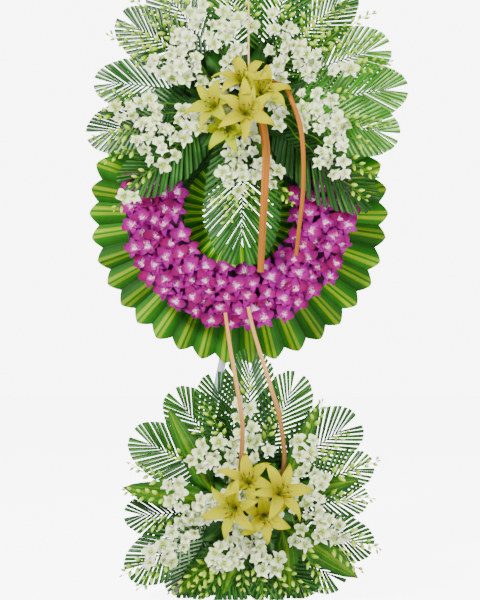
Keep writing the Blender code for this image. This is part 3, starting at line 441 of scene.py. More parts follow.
budGreen = petalMaterial("orchidBud", {
    "stops": [(0.0, "#548408"), (0.35, "#94b824"), (0.75, "#c4dc58"), (1.0, "#d4e67c")],
    "others": [(0.0, "#4c7c08"), (0.4, "#80a814"), (0.8, "#a0c42c"), (1.0, "#b0cc40")],
    "vein": "#68901c", "veinShare": 0.08, "soft": 0.06})

# Lily petals are thick and matt: lemon yellow, greener towards the heart and on half-open heads.
lilyPetal = petalMaterial("yellowLilyPetal", {
    "stops": [(0.0, "#6c8400"), (0.10, "#948c00"), (0.40, "#a6a000"), (0.85, "#b2ae00"), (1.0, "#a0a000")],
    "others": [(0.0, "#507c00"), (0.25, "#809a00"), (0.6, "#9eb200"), (1.0, "#8ca400")],
    "vein": "#887c00", "veinShare": 0.16, "soft": 0.0, "roughness": 0.8, "gloss": 0.02, "waver": 0.15})
anther = grainyMaterial("lilyAnther", {
    "first": "#3c1a06", "second": "#5c2c0a", "size": 0.001, "roughness": 0.8})
filament = grainyMaterial("lilyFilament", {
    "first": "#547804", "second": "#708808", "size": 0.004, "roughness": 0.5})

# Split rattan is dry wood with long fibres; the lower strips are paler, and darker towards the foot.
plainEnds = [(0.0, "#ffffff"), (1.0, "#ffffff")]
rattanOrange = stripMaterial("splitRattan", {
    "stops": [(0.25, "#704002"), (0.5, "#925600"), (0.75, "#ae6a14")], "ends": plainEnds})
rattanCream = stripMaterial("splitRattanCream", {
    "stops": [(0.25, "#a08448"), (0.5, "#c0a468"), (0.75, "#d4bc88")], "ends": plainEnds})
rattanPale = stripMaterial("splitRattanPale", {
    "stops": [(0.25, "#a06e2c"), (0.5, "#c48e48"), (0.75, "#d8a46c")],
    "ends": [(0.0, "#40381c"), (0.28, "#6c6444"), (0.5, "#b4aa88"), (0.75, "#ffffff")]})

# Wet foam is porous and dull; the dull pad behind the purple blooms is painted dark green and purple as the
# shade between them.
foamGreen = grainyMaterial("wetFloralFoam", {
    "first": "#12381c", "second": "#1f5029", "size": 0.0015, "roughness": 0.95})
# Painted shade: the pad's dark green and purple stand for the shade among the blooms.
shadePad = grainyMaterial("paintedShadePad", {
    "first": "#1c200e", "second": "#501048", "size": 0.012, "roughness": 0.95})

# The stand: rolled paint on board, the fine orange peel of powder coat on tube, and spangled zinc on wire.
boardGrey = grainyMaterial("paintedBoard", {
    "first": "#e8ebec", "second": "#f2f4f5", "size": 0.02, "stretch": (0.3, 1, 1), "roughness": 0.55,
    "height": 0.0002})
steelPale = grainyMaterial("powderCoatedSteel", {
    "first": "#aeb9c4", "second": "#c0cad3", "size": 0.002, "roughness": 0.4, "metallic": 0.2,
    "height": 0.0001})
wireGrey = grainyMaterial("galvanisedWire", {
    "first": "#7f868b", "second": "#a4a9ac", "size": 0.003, "roughness": 0.35, "metallic": 0.9,
    "height": 0.0001})
print("materials done")


# Placement, in metres, in the frame's own coordinates

ringZ = 1.056
spongeWidth, spongeHeight, spongeDepth = 0.070, 0.055, 0.139  # half, half and whole
layers = (0.0135, 0.0335, 0.0535, 0.0735, 0.0880)  # depths of the fronds, from the foam's back
# A stalk's foot lies this far from the foam's middle, its route starts this far past the foam's side, and
# the others leave the first one at this share of its length.
stalk = {"foot": 0.038, "past": 0.012, "joint": 0.02}


class Spray:
    # A spray's centre, its foam's faces, and points and stalks given as radius, angle and depth.
    def __init__(self, x, z, plateBack):
        self.x, self.z = x, z
        self.foamBack = plateBack - 0.0033  # a 3 mm plate and its gap
        self.foamFront = self.foamBack - spongeDepth

    def polar(self, radius, degrees, depth):
        turn = math.radians(degrees)
        x, z = self.x + radius * math.cos(turn), self.z + radius * math.sin(turn)
        return np.array([x, self.foamBack - depth, z])

    def edge(self, degrees):
        # Distance from the middle of the foam to its side.
        turn = math.radians(degrees)
        return min(spongeWidth / max(1e-6, abs(math.cos(turn))),
                   spongeHeight / max(1e-6, abs(math.sin(turn))))

    def branch(self, joint, degrees, reach, depth, bend, arch, step=0.0):
        # A stalk's route, foot and joint. The first one leaves the foam, and the others leave its joint.
        tip = self.polar(reach, degrees, depth)
        if joint is not None:
            return Path(joint, tip, bend, arch, step), joint, joint
        start = self.polar(self.edge(degrees) + stalk["past"], degrees, depth)
        path = Path(start, tip, bend, arch)
        return path, self.polar(stalk["foot"], degrees, depth), path.at(stalk["joint"])


upper = Spray(0.004, 1.357, -0.0453)
lower = Spray(0.031, 0.260, -0.0903)

# Palm fronds of each CAD node: layer, then angle, length, half width and bend of each frond.
frondNodes = {
    "palm_upper": (upper, (
        (1, ((5, 0.459, 0.090, -0.010), (-12, 0.442, 0.086, -0.014))),
        (0, ((22, 0.440, 0.092, 0.012),)),
        (2, ((45, 0.433, 0.084, 0.010), (68, 0.419, 0.084, 0.012))),
        (1, ((95, 0.407, 0.082, -0.008),)),
        (0, ((124, 0.422, 0.084, -0.010), (144, 0.405, 0.084, 0.008))),
        (2, ((172, 0.398, 0.078, -0.012), (193, 0.424, 0.080, 0.012))),
        (3, ((217, 0.399, 0.080, 0.016),)),
        (4, ((271, 0.440, 0.108, 0.004),)),
        (3, ((-38, 0.461, 0.088, -0.020),)))),
    "palm_lower": (lower, (
        (2, ((-42, 0.330, 0.070, -0.012), (-20, 0.349, 0.068, 0.010), (-58, 0.290, 0.068, -0.008))),
        (1, ((2, 0.319, 0.062, -0.008), (18, 0.347, 0.068, 0.010))),
        (0, ((38, 0.366, 0.084, 0.012),)),
        (2, ((90, 0.412, 0.086, 0.006), (70, 0.372, 0.078, -0.010), (106, 0.362, 0.078, 0.010))),
        (0, ((125, 0.365, 0.078, -0.008), (150, 0.366, 0.080, 0.012))),
        (2, ((186, 0.338, 0.066, 0.008), (210, 0.378, 0.076, 0.014), (229, 0.318, 0.070, 0.010))),
        (3, ((270, 0.246, 0.070, 0.004), (249, 0.272, 0.062, 0.006), (291, 0.266, 0.062, -0.006),
             (259, 0.256, 0.060, -0.004), (281, 0.256, 0.060, 0.004), (236, 0.290, 0.060, 0.004),
             (304, 0.286, 0.060, -0.004))))),
}
whiteBack, whiteFront = 0.1050, 0.1345
# Orchid stems of each CAD node: depth, then angle, reach of the first and last bloom, tip and bend.
stemNodes = {
    "white_orchid_upper": (upper, (
        (whiteFront, (
            (205, 0.12, 0.30, 0.400, 0.010), (187, 0.12, 0.33, 0.385, 0.004),
            (219, 0.11, 0.29, 0.380, 0.012), (222, 0.41, 0.41, 0.455, 0.004),
            (196, 0.14, 0.27, 0.415, 0.010), (178, 0.26, 0.25, 0.380, -0.006))),
        (whiteBack, (
            (148, 0.13, 0.21, 0.385, -0.008), (137, 0.17, 0.22, 0.395, -0.012),
            (160, 0.15, 0.27, 0.310, 0.006), (154, 0.24, 0.23, 0.400, 0.006),
            (128, 0.23, 0.22, 0.390, -0.006))),
        (whiteFront, (
            (96, 0.09, 0.23, 0.280, 0.004), (117, 0.13, 0.26, 0.335, 0.008),
            (79, 0.10, 0.19, 0.275, 0.004), (104, 0.24, 0.23, 0.370, 0.006),
            (88, 0.22, 0.21, 0.360, -0.004), (122, 0.26, 0.25, 0.390, 0.010))),
        (whiteBack, (
            (33, 0.14, 0.22, 0.435, 0.010), (62, 0.13, 0.22, 0.290, 0.004),
            (14, 0.20, 0.30, 0.425, -0.008), (42, 0.21, 0.20, 0.400, 0.008),
            (24, 0.24, 0.25, 0.420, 0.006), (52, 0.22, 0.21, 0.370, -0.006),
            (70, 0.24, 0.23, 0.370, 0.006))),
        (whiteFront, (
            (-20, 0.11, 0.31, 0.380, -0.006), (2, 0.12, 0.235, 0.300, 0.006),
            (-39, 0.15, 0.36, 0.440, -0.016), (-10, 0.25, 0.26, 0.410, -0.006),
            (-30, 0.31, 0.32, 0.430, -0.010))),
        (whiteBack, (
            (-84, 0.09, 0.20, 0.300, 0.004), (-64, 0.12, 0.245, 0.320, -0.006),
            (-104, 0.11, 0.24, 0.300, 0.008), (-96, 0.22, 0.23, 0.345, 0.006))))),
    "white_orchid_lower": (lower, (
        (whiteFront, (
            (172, 0.11, 0.21, 0.340, 0.010), (208, 0.12, 0.29, 0.390, 0.012),
            (190, 0.11, 0.19, 0.290, 0.006), (160, 0.22, 0.21, 0.345, 0.008),
            (216, 0.24, 0.25, 0.372, 0.010))),
        (whiteBack, (
            (92, 0.10, 0.28, 0.345, 0.004), (125, 0.11, 0.20, 0.250, -0.004),
            (146, 0.11, 0.20, 0.270, -0.004), (114, 0.18, 0.17, 0.300, 0.006),
            (74, 0.17, 0.16, 0.300, -0.006))),
        (whiteFront, (
            (20, 0.12, 0.215, 0.365, 0.008), (56, 0.13, 0.24, 0.345, -0.006),
            (-18, 0.13, 0.25, 0.365, -0.008), (38, 0.20, 0.19, 0.330, 0.006),
            (4, 0.20, 0.19, 0.330, 0.004), (-30, 0.22, 0.21, 0.345, -0.008),
            (-48, 0.16, 0.15, 0.300, -0.006))),
        (whiteBack, (
            (264, 0.10, 0.15, 0.222, 0.002), (236, 0.12, 0.18, 0.272, -0.004),
            (292, 0.13, 0.18, 0.250, 0.004), (279, 0.14, 0.13, 0.240, -0.003),
            (227, 0.17, 0.16, 0.320, 0.006), (242, 0.17, 0.16, 0.280, 0.004),
            (304, 0.15, 0.14, 0.280, -0.006))))),
}
# Broad leaves of each CAD node: angle, length and half width.
leafNodes = (
    ((172, 0.345, 0.036), (130, 0.342, 0.030)),
    ((253, 0.250, 0.038), (231, 0.312, 0.036)),
    ((-34, 0.350, 0.038), (-66, 0.262, 0.032)),
    ((13, 0.300, 0.028), (56, 0.334, 0.024)))
# Lilies: heart in x and z, distance from the foam, lean to the right and up, roll, petal length, greenness.
lilyNodes = {
    "lilies_upper": (upper, (
        (0.012, 1.376, 0.020, 0.05, 0.85, 10, 0.096, 0.1),
        (-0.055, 1.318, 0.030, -0.45, 0.35, 44, 0.090, 0.45),
        (-0.026, 1.262, 0.020, -0.20, 0.10, 5, 0.082, 0.9),
        (0.018, 1.302, 0.052, 0.05, 0.15, 28, 0.098, 0.0),
        (0.054, 1.354, 0.030, 0.40, 0.50, 50, 0.090, 0.1))),
    "lilies_lower": (lower, (
        (0.028, 0.322, 0.020, -0.10, 0.55, 15, 0.092, 0.1),
        (-0.002, 0.264, 0.030, -0.40, 0.05, 40, 0.096, 0.2),
        (0.102, 0.298, 0.044, 0.30, 0.40, 0, 0.098, 0.05),
        (0.064, 0.248, 0.024, 0.15, -0.10, 22, 0.088, 0.0))),
}
# Rattan strips: width, then the route from the foam or the lilies to the far tip.
strips = (
    (0.022, (
        (0.053, -0.1740, 1.330), (0.053, -0.1925, 1.330), (0.057, -0.2080, 1.316), (0.067, -0.2140, 1.267),
        (0.074, -0.2115, 1.205), (0.071, -0.1990, 1.120), (0.067, -0.1800, 1.040), (0.063, -0.1600, 0.960),
        (0.060, -0.1420, 0.887))),
    (0.013, (
        (0.058, -0.1740, 1.390), (0.058, -0.1925, 1.390), (0.090, -0.2120, 1.392), (0.126, -0.2180, 1.376),
        (0.146, -0.2200, 1.332), (0.165, -0.2180, 1.275), (0.173, -0.2110, 1.205), (0.173, -0.1920, 1.102),
        (0.164, -0.1660, 1.010), (0.157, -0.1340, 0.933))),
    (0.005, (
        (0.028, -0.1740, 1.404), (0.028, -0.1925, 1.404), (0.028, -0.2120, 1.420), (0.027, -0.2180, 1.480),
        (0.027, -0.2150, 1.560), (0.028, -0.2020, 1.640), (0.030, -0.1840, 1.690))),
    (0.012, (
        (0.000, -0.2180, 0.308), (0.000, -0.2370, 0.308), (0.002, -0.2520, 0.328), (0.008, -0.2620, 0.400),
        (0.010, -0.2620, 0.490), (-0.007, -0.2400, 0.600), (-0.023, -0.1960, 0.691),
        (-0.036, -0.1380, 0.777))),
    (0.012, (
        (0.090, -0.2180, 0.304), (0.090, -0.2370, 0.304), (0.108, -0.2530, 0.326), (0.121, -0.2640, 0.396),
        (0.109, -0.2640, 0.501), (0.090, -0.2500, 0.568), (0.071, -0.2250, 0.630), (0.042, -0.1760, 0.725),
        (0.026, -0.1380, 0.793))))


# Palm fronds


# A leaflet's half width and forward sweep go by its length and by its place on the rib.
leaflet = {"pitch": 0.0132, "pairShift": 0.4, "jitter": 0.10, "thickness": 0.0005,
           "widths": ([0, 0.08, 0.30, 0.92, 1], [0.30, 0.44, 0.46, 0.46, 0.42]),
           "sweep": ([0, 0.25, 0.5, 0.75, 0.9, 1], [0.36, 0.66, 0.90, 0.98, 0.86, 0.66]),
           "droop": (0.02, 0.13), "roll": 0.15, "rollJitter": 0.32, "ridge": 0.6}
rib = {"foot": 0.0028, "tip": 0.0011, "rings": 16}
# The first leaflet's place is for a node's first frond, then for those that leave it.
frond = {"firstLeaflet": (0.05, 0.12), "stepBack": 0.012, "archBehind": 0.16, "archInFront": 0.05,
         "tipInset": 0.55}
coverPlaces = (0, 0.45, 0.6, 1)
lowest = 0.004  # leaves over the floor stay this high


def addFrond(surface, path, halfWidth, first, footPoint, cover, shortest):
    # Each leaflet is a strip between the rib and a rounded outline, whose reach to the side follows a sine.
    # Cover is how far the leaflets close against each other, at four places along the rib, and shortest is
    # the least reach of a leaflet.
    pairs = round(path.length * (1 - first) / leaflet["pitch"])
    step = (1 - first) / (pairs + leaflet["pairShift"])
    count = 2 * pairs
    t = first + step * (np.arange(pairs) + 0.5)
    t = np.concatenate([t, t + step * leaflet["pairShift"]])
    t = t + spread(-leaflet["jitter"], leaflet["jitter"], count) * step
    sign = np.repeat([1.0, -1.0], pairs)[:, None, None]
    rows = np.linspace(0, 1, 9)[None, :, None]
    columns = np.linspace(-1, 1, 3)[None, None, :]
    share = np.interp(rows, *leaflet["widths"]) * np.interp(t, coverPlaces, cover)[:, None, None]
    place = np.clip(t[:, None, None] + columns * share * step, 0, 1)
    point, along, side, front = path.frame(place)
    u = np.clip((place - first) / (1 - first), 0, 1)
    outline = halfWidth * np.sin(np.pi * (0.19 + 0.80 * u)) ** 0.7
    reach = outline * each(shortest, 1.0, count)
    forward = halfWidth * np.interp(u, *leaflet["sweep"])
    grid = point + (side * (sign * reach)[..., None] + along * forward[..., None]) * rows[..., None]
    bend = each(-0.05, 0.02, count) * np.sin(np.pi * rows) - each(*leaflet["droop"], count) * rows ** 2
    half = share * step * path.length * 0.8
    turned = each(-leaflet["rollJitter"], leaflet["rollJitter"], count)
    roll = (leaflet["roll"] * sign + turned) * columns
    lift = bend * reach + (roll + leaflet["ridge"] * (0.5 - np.abs(columns))) * half
    grid = grid + front * lift[..., None]
    grid[..., 2] = np.maximum(grid[..., 2], lowest)
    tone = np.clip(spread(0.1, 0.9) + spread(-0.25, 0.25, count), 0, 1)
    addSheets(surface, grid, leaflet["thickness"], tone, 0)
    ribT = np.linspace(0, 0.985, rib["rings"])
    centre, _, ribSide, ribFront = path.frame(ribT)
    centre = np.concatenate([footPoint[None], centre])
    ribSide = np.concatenate([ribSide[:1], ribSide])
    ribFront = np.concatenate([ribFront[:1], ribFront])
    radius = np.concatenate([[rib["foot"]], np.interp(ribT, [0, 1], [rib["foot"], rib["tip"]])])
    addTubes(surface, centre[None], ribSide[None], ribFront[None], radius[None], 0.5, 1)


# Two rows of short leaves hide the foam's sides: depth, share of the reach and number of leaves.
skirt = {"halfWidth": 0.026, "thickness": 0.0006, "stalk": 0.0016, "foot": 0.045, "past": 0.003,
         "droop": (-2.2, 1.2),
         "rows": ((0.040, 1.0, 18), (0.080, 0.86, 17)),
         "holders": {"palm_upper_4": (upper, 0.185), "palm_lower_3": (lower, 0.170)}}


def addSkirt(surface, spray, depth, reach, count):
    # Each blade's half width is a power of a sine of its length, and its sides fold back from the rib.
    t = np.linspace(0, 1, 12)
    v = np.linspace(-1, 1, 5)
    width = skirt["halfWidth"] * np.sin(np.pi * (0.24 + 0.73 * t)) ** 0.8
    for angle in 360 * (np.arange(count) + spread(-0.25, 0.25, count)) / count:
        tip = spray.polar(reach * spread(0.88, 1.08), angle, depth)
        start = spray.polar(spray.edge(angle) + skirt["past"], angle, depth)
        path = Path(start, tip, spread(-0.01, 0.01), spread(*skirt["droop"]))
        point, _, side, front = path.frame(t)
        fold = spread(-0.2, 0.2) * v - 0.25 * np.abs(v)
        across = side[:, None] * v[:, None] + front[:, None] * fold[:, None]
        grid = point[:, None] + across * width[:, None, None]
        grid[..., 2] = np.maximum(grid[..., 2], lowest)
        addSheets(surface, grid[None], skirt["thickness"], spread(0.1, 0.7), 0)
        foot = spray.polar(skirt["foot"], angle, depth)
        straightTubes(surface, foot[None], point[:1], [skirt["stalk"]] * 2, 0.5, 1)


# Each node's copy of the palm finish, painted lit, shaded or with stronger sheen for how light falls on it,
# the least reach of its leaflets, and how far they close at four places along the rib.
frondLooks = {
    "palm_upper_1": (palmLit, 0.965, (1.00, 1.02, 1.06, 1.06)),
    "palm_upper_2": (palmLit, 0.965, (0.94, 0.94, 0.96, 0.98)),
    "palm_upper_3": (palmDeep, 0.965, (0.88, 0.88, 0.92, 0.96)),
    "palm_upper_4": (palmShade, 0.965, (0.92, 0.92, 0.94, 0.96)),
    "palm_upper_5": (palmPaintedSheen, 0.965, (0.90, 0.90, 0.93, 0.96)),
    "palm_upper_6": (palmPaintedSheen, 0.965, (0.94, 0.94, 0.96, 0.98)),
    "palm_upper_7": (palmShade, 0.82, (1.00, 1.00, 0.96, 0.92)),
    "palm_upper_8": (palmShade, 0.965, (0.93, 0.93, 1.04, 1.10)),
    "palm_upper_9": (palmShade, 0.78, (1.00, 0.98, 0.94, 0.90)),
    "palm_lower_1": (palmDeep, 0.965, (1.04, 0.98, 0.92, 0.86)),
    "palm_lower_2": (palmDeep, 0.90, (0.92, 0.86, 0.80, 0.76)),
    "palm_lower_3": (palmDeep, 0.965, (0.82, 0.80, 0.80, 0.82)),
    "palm_lower_4": (palmShade, 0.92, (0.80, 0.80, 0.84, 0.86)),
    "palm_lower_5": (palmDeep, 0.965, (1.00, 0.98, 0.96, 0.94)),
    "palm_lower_6": (palmPaintedSheen, 0.965, (0.94, 0.92, 0.90, 0.88)),
    "palm_lower_7": (palmShade, 0.965, (1.00, 1.00, 1.00, 1.00)),
}
for prefix, (spray, nodes) in frondNodes.items():
    for number, (layer, fronds) in enumerate(nodes, 1):
        surface = Surface()
        name = prefix + "_" + str(number)
        finish, shortest, cover = frondLooks[name]
        depth = layers[layer]
        arch = frond["archInFront" if layer > 2 else "archBehind"]
        joint = None
        for place, (angle, length, halfWidth, bend) in enumerate(fronds):
            reach = length - frond["tipInset"] * halfWidth
            path, foot, joint = spray.branch(joint, angle, reach, depth, bend, arch, frond["stepBack"])
            first = frond["firstLeaflet"][min(place, 1)]
            addFrond(surface, path, halfWidth, first, foot, cover, shortest)
        if name in skirt["holders"]:
            holder, reach = skirt["holders"][name]
            for rowDepth, rowShare, count in skirt["rows"]:
                addSkirt(surface, holder, rowDepth, reach * rowShare, count)
        makePiece({"name": name.replace("_", "") + "Fronds", "replaces": [name], "slot": "palm_leaf",
                   "materials": [finish, ribGreen]}, surface)
print("fronds done")


# Orchid flowers


def smoothRoute(points, steps):
    # A Catmull-Rom curve through the route's points.
    p = np.array(points)
    p = np.concatenate([2 * p[:1] - p[1:2], p, 2 * p[-1:] - p[-2:-1]])
    t = np.linspace(0, len(points) - 1 - 1e-9, steps)
    i = t.astype(int)
    f = (t - i)[:, None]
    a, b, c, d = p[i], p[i + 1], p[i + 2], p[i + 3]
    squared = (2 * a - 5 * b + 4 * c - d) * f ** 2
    cubed = (3 * b - a - 3 * c + d) * f ** 3
    return 0.5 * (2 * b + (c - a) * f + squared + cubed)


stripLines = np.concatenate([smoothRoute(route, 60)[8:] for _, route in strips])


def clearOfStrips(centres, gap):
    # Which points lie further than the gap from every strip.
    return np.linalg.norm(centres[:, None] - stripLines[None], axis=2).min(axis=1) > gap


def petalGrid(count, spec, closed):
    # Right, up and forward of each petal point: width is a power of a sine of the way out.
    u = np.linspace(0.02, 1, 6)[None, :, None]
    v = np.linspace(-1, 1, 5)[None, None, :]
    length = spec["length"] * each(0.92, 1.08, count)
    half = spec["width"] / 2 * np.sin(np.pi * (0.05 + 0.93 * u) ** spec["fullness"]) ** spec["blunt"]
    half = half * each(0.9, 1.1, count)
    cup = spec["cup"] + each(-0.08, 0.08, count)
    curl = spec["curl"] + each(-0.10, 0.10, count)
    phase = each(0, 2 * np.pi, count)
    wave = 0.06 * length * np.sin(2 * np.pi * 1.3 * u + phase) * v ** 2 * np.sign(v)
    rise = cup * length * np.sin(np.pi * u * 0.9) - curl * length * u ** 2
    rise = rise + spec["hollow"] * half * v ** 2 + wave
    lean = (closed + spread(-0.12, 0.12, count))[:, None, None]
    out = length * u * np.cos(lean) - rise * np.sin(lean)
    rise = length * u * np.sin(lean) + rise * np.cos(lean) + spec["lift"]
    sideways = half * v
    turn = np.radians(spec["angle"] + each(-7, 7, count))
    right = sideways * np.cos(turn) + out * np.sin(turn)
    up = out * np.cos(turn) - sideways * np.sin(turn)
    return np.stack(np.broadcast_arrays(right, up, rise), -1)


sepal = {"length": 0.028, "width": 0.0160, "fullness": 0.80, "blunt": 0.68, "cup": 0.18, "curl": 0.14,
         "hollow": 0.45, "lift": -0.0008, "deeper": 0.0}
widePetal = {"length": 0.028, "width": 0.0250, "fullness": 1.0, "blunt": 0.46, "cup": 0.20, "curl": 0.10,
             "hollow": 0.35, "lift": 0.0010, "deeper": 0.5}
bloomPetals = ({**sepal, "angle": 0, "length": 0.029, "fullness": 0.85, "curl": 0.12},
               {**sepal, "angle": 142}, {**sepal, "angle": -142},
               {**widePetal, "angle": 70}, {**widePetal, "angle": -70})
lip = {"halfWidth": 0.0060, "drop": 0.013, "reach": 0.016, "hollow": 0.55}
column = {"reach": 0.009, "rise": 0.003, "radii": (0.0022, 0.0026, 0.0024, 0.0008)}
petalThickness = 0.0006


def toWorld(local, centre, right, up, facing, scale):
    # Flower points to the frame's own axes.
    local = local * scale[:, None, None, None]
    right, up, facing = right[:, None, None], up[:, None, None], facing[:, None, None]
    return centre[:, None, None] + right * local[..., :1] + up * local[..., 1:2] + facing * local[..., 2:]


def addBlooms(surface, centre, facing, roll, scale, tone, closed, columnSpan=(0.3, 1.0)):
    # Three sepals, two wide petals that take more of the second colours (a deeper hue on purple blooms,
    # painted greenish shade on white ones), a lip that comes forward and curves down, and a short column.
    count = len(centre)
    right = unit(np.cross(facing, upAxis))
    over = np.cross(right, facing)
    c, s = np.cos(roll)[:, None], np.sin(roll)[:, None]
    across, up = right * c + over * s, over * c - right * s
    for spec in bloomPetals:
        petals = toWorld(petalGrid(count, spec, closed), centre, across, up, facing, scale)
        addSheets(surface, petals, petalThickness, 0.5 * tone + spec["deeper"], 0)
    u = np.linspace(0, 1, 6)[None, :, None]
    v = np.linspace(-1, 1, 5)[None, None, :]
    half = lip["halfWidth"] * np.sin(np.pi * (0.22 + 0.70 * u)) ** 0.7 * (1 + 0.25 * u)
    size = each(0.9, 1.1, count)
    drop = -lip["drop"] * (0.15 * u + 0.85 * u ** 2)
    rise = lip["reach"] * (u - 0.50 * u ** 2) + lip["hollow"] * half * v ** 2
    local = np.stack(np.broadcast_arrays(half * v * size, drop * size, rise * size), -1)
    addSheets(surface, toWorld(local, centre, across, up, facing, scale), petalThickness, tone, 1)
    steps = np.linspace(0, 1, 4)[None, :, None]
    line = centre[:, None] + facing[:, None] * (column["reach"] * steps) * scale[:, None, None]
    line = line + up[:, None] * (column["rise"] * steps)
    radius = scale[:, None] * np.array([column["radii"]])
    addTubes(surface, line, across[:, None], up[:, None], radius, tone, 1, 6, columnSpan)


def addStalkedBlooms(surface, foot, centre, facing, spec):
    # Open blooms of any turn, tone and size, each on its own small stalk.
    count = len(centre)
    tone = spread(0, 1, count)
    roll, scale = spread(-0.9, 0.9, count), spread(*spec["scale"], count)
    addBlooms(surface, centre, facing, roll, scale, tone, spread(*spec["closed"], count))
    straightTubes(surface, foot, centre - facing * 0.001, spec["bloomStalk"], tone, 3)


def addBuds(surface, root, direction, length, girth, tone, kind):
    # An egg shape, fullest before its middle, bent a little upward.
    u = np.linspace(0, 1, 6)
    swell = np.sin(np.pi * (0.04 + 0.93 * u) ** 0.85) ** 0.8
    side, front = axesFor(direction)
    centre = root[:, None] + direction[:, None] * (length[:, None, None] * u[None, :, None])
    centre = centre + front[:, None] * (length[:, None, None] * 0.12 * (u ** 2)[None, :, None])
    addTubes(surface, centre, side[:, None], front[:, None], girth[:, None] * swell[None], tone, kind)


orchidStem = {"bloomPitch": 0.0180, "bloomShare": 0.80, "scale": (0.70, 0.96), "closed": (0.05, 0.85),
              "before": 0.035, "after": 0.012, "bloomStalk": (0.0010, 0.0010, 0.0014), "stripGap": 0.031,
              "budGap": 0.016, "budPitch": 0.0124, "budLength": 0.026, "budGirth": 0.0068,
              "budStalk": (0.007, 0.015), "budRadii": (0.0008, 0.0007, 0.0008), "tipBud": (0.010, 0.0024),
              "arch": 0.06,
              "radius": (0.0022, 0.0018), "tipRadius": 0.0009, "sway": 0.003, "swayPitch": 0.020}


def addOrchidStem(surface, path, foot, first, last, half):
    # Open blooms to both sides of the inner stem, and buds on small stalks to its tip.
    spec = orchidStem
    t = np.linspace(0, 1, 20)
    centre, _, side, front = path.frame(t)
    centre = centre + side * spec["sway"] * np.sin(t * path.length / spec["swayPitch"] * np.pi / 2)[:, None]
    if foot is not None:
        centre = np.concatenate([foot[None], centre])
        side, front = np.concatenate([side[:1], side]), np.concatenate([front[:1], front])
    radius = np.interp(np.linspace(0, 1, len(centre)), [0, 1], [half, spec["tipRadius"]])
    addTubes(surface, centre[None], side[None], front[None], radius[None], 0.4, 3)

    # Blooms, but for those too near a strip.
    reach = np.arange(max(0.0, first - spec["before"]), last + spec["after"], spec["bloomPitch"])
    reach = reach[spread(0, 1, len(reach)) < spec["bloomShare"]]
    count = len(reach)
    place = np.clip((reach + spread(-0.006, 0.006, count)) / path.length, 0, 0.97)
    point, _, side, front = path.frame(place)
    lateral = side * np.where(np.arange(count) % 2, 1.0, -1.0)[:, None]
    bloom = point + lateral * spread(0.003, 0.022, count)[:, None]
    bloom = bloom + front * spread(0.002, 0.026, count)[:, None]
    clear = clearOfStrips(bloom, spec["stripGap"])
    point, lateral, front, bloom = point[clear], lateral[clear], front[clear], bloom[clear]
    count = len(bloom)
    tilt = np.stack([spread(-0.55, 0.55, count), np.zeros(count), spread(-0.45, 0.55, count)], 1)
    addStalkedBlooms(surface, point, bloom, unit(front + lateral * 0.30 + tilt), spec)

    # Buds, smaller towards the tip.
    reach = np.arange(last + spec["budGap"], path.length * 0.97, spec["budPitch"])
    count = len(reach)
    if count:
        point, along, side, front = path.frame(reach / path.length)
        sign = np.where(np.arange(count) % 2, 1.0, -1.0)[:, None]
        outward = along * spread(0.5, 1.0, count)[:, None] + side * sign * spread(0.5, 0.9, count)[:, None]
        outward = unit(outward + front * spread(0.1, 0.6, count)[:, None])
        fade = 1.0 - 0.5 * np.clip((reach - last) / max(path.length - last, 0.03), 0, 1)
        root = point + outward * (fade * spread(*spec["budStalk"], count))[:, None]
        straightTubes(surface, point, root, spec["budRadii"], 0.5, 3)
        nod = unit(outward + upAxis * spread(-0.35, 0.25, count)[:, None])
        length = spec["budLength"] * fade * spread(0.85, 1.15, count)
        girth = spec["budGirth"] * fade * spread(0.85, 1.1, count)
        addBuds(surface, root - outward * 0.001, nod, length, girth, spread(0, 1, count), 2)
    point, along, _, _ = path.frame(np.array([0.985]))
    length, girth = (np.array([size]) for size in spec["tipBud"])
    addBuds(surface, point, along, length, girth, 0.5, 2)


collar = {"blooms": 20, "scale": (0.76, 0.92), "closed": (0.0, 0.6), "bloomStalk": (0.0011, 0.0010, 0.0014),
          "holders": ("white_orchid_upper_3", "white_orchid_lower_2")}


def addCollar(surface, spray, count):
    # Short-stemmed flowers over the foam's front and round its edge.
    turn = 2 * np.pi * (np.arange(count) + spread(-0.3, 0.3, count)) / count
    radius = np.where(np.arange(count) % 3, 1.0, 0.62) * spread(0.92, 1.12, count)
    x, z = spongeWidth * radius * np.cos(turn), spongeHeight * radius * np.sin(turn)
    offset = np.stack([x, np.zeros(count), z], 1)
    middle = np.array([spray.x, spray.foamFront, spray.z])
    bloom = middle + offset + frontAxis * spread(0.006, 0.018, count)[:, None]
    tilt = np.stack([spread(-0.3, 0.3, count)] * 3, 1) * np.array([1, 0, -1])
    foot = middle + offset * 0.7 - frontAxis * 0.012
    addStalkedBlooms(surface, foot, bloom, unit(frontAxis + 6.0 * offset + tilt), collar)


for prefix, (spray, nodes) in stemNodes.items():
    for number, (depth, stems) in enumerate(nodes, 1):
        surface = Surface()
        name = prefix + "_" + str(number)
        if name in collar["holders"]:
            addCollar(surface, spray, collar["blooms"])
        joint = None
        for place, (angle, first, last, tip, bend) in enumerate(stems):
            path, foot, joint = spray.branch(joint, angle, tip, depth, bend, orchidStem["arch"])
            offset = tip - path.length
            foot, half = None if place else foot, orchidStem["radius"][min(place, 1)]
            addOrchidStem(surface, path, foot, first - offset, last - offset, half)
        makePiece({"name": name.replace("_", "") + "Sprays", "replaces": [name], "slot": "white_orchid",
                   "materials": [whitePetal, whiteLip, budGreen, stemGreen]}, surface)
print("white orchids done")


# Ring: orchid band, leaf rim, wrapped straw and wire frame


def onRing(radius, degrees, y):
    # Points at a radius and an angle round the wreath's middle, and a depth.
    turn = np.radians(degrees)
    radius, turn, y = np.broadcast_arrays(radius, turn, y)
    return np.stack([radius * np.cos(turn), y, ringZ + radius * np.sin(turn)], -1)


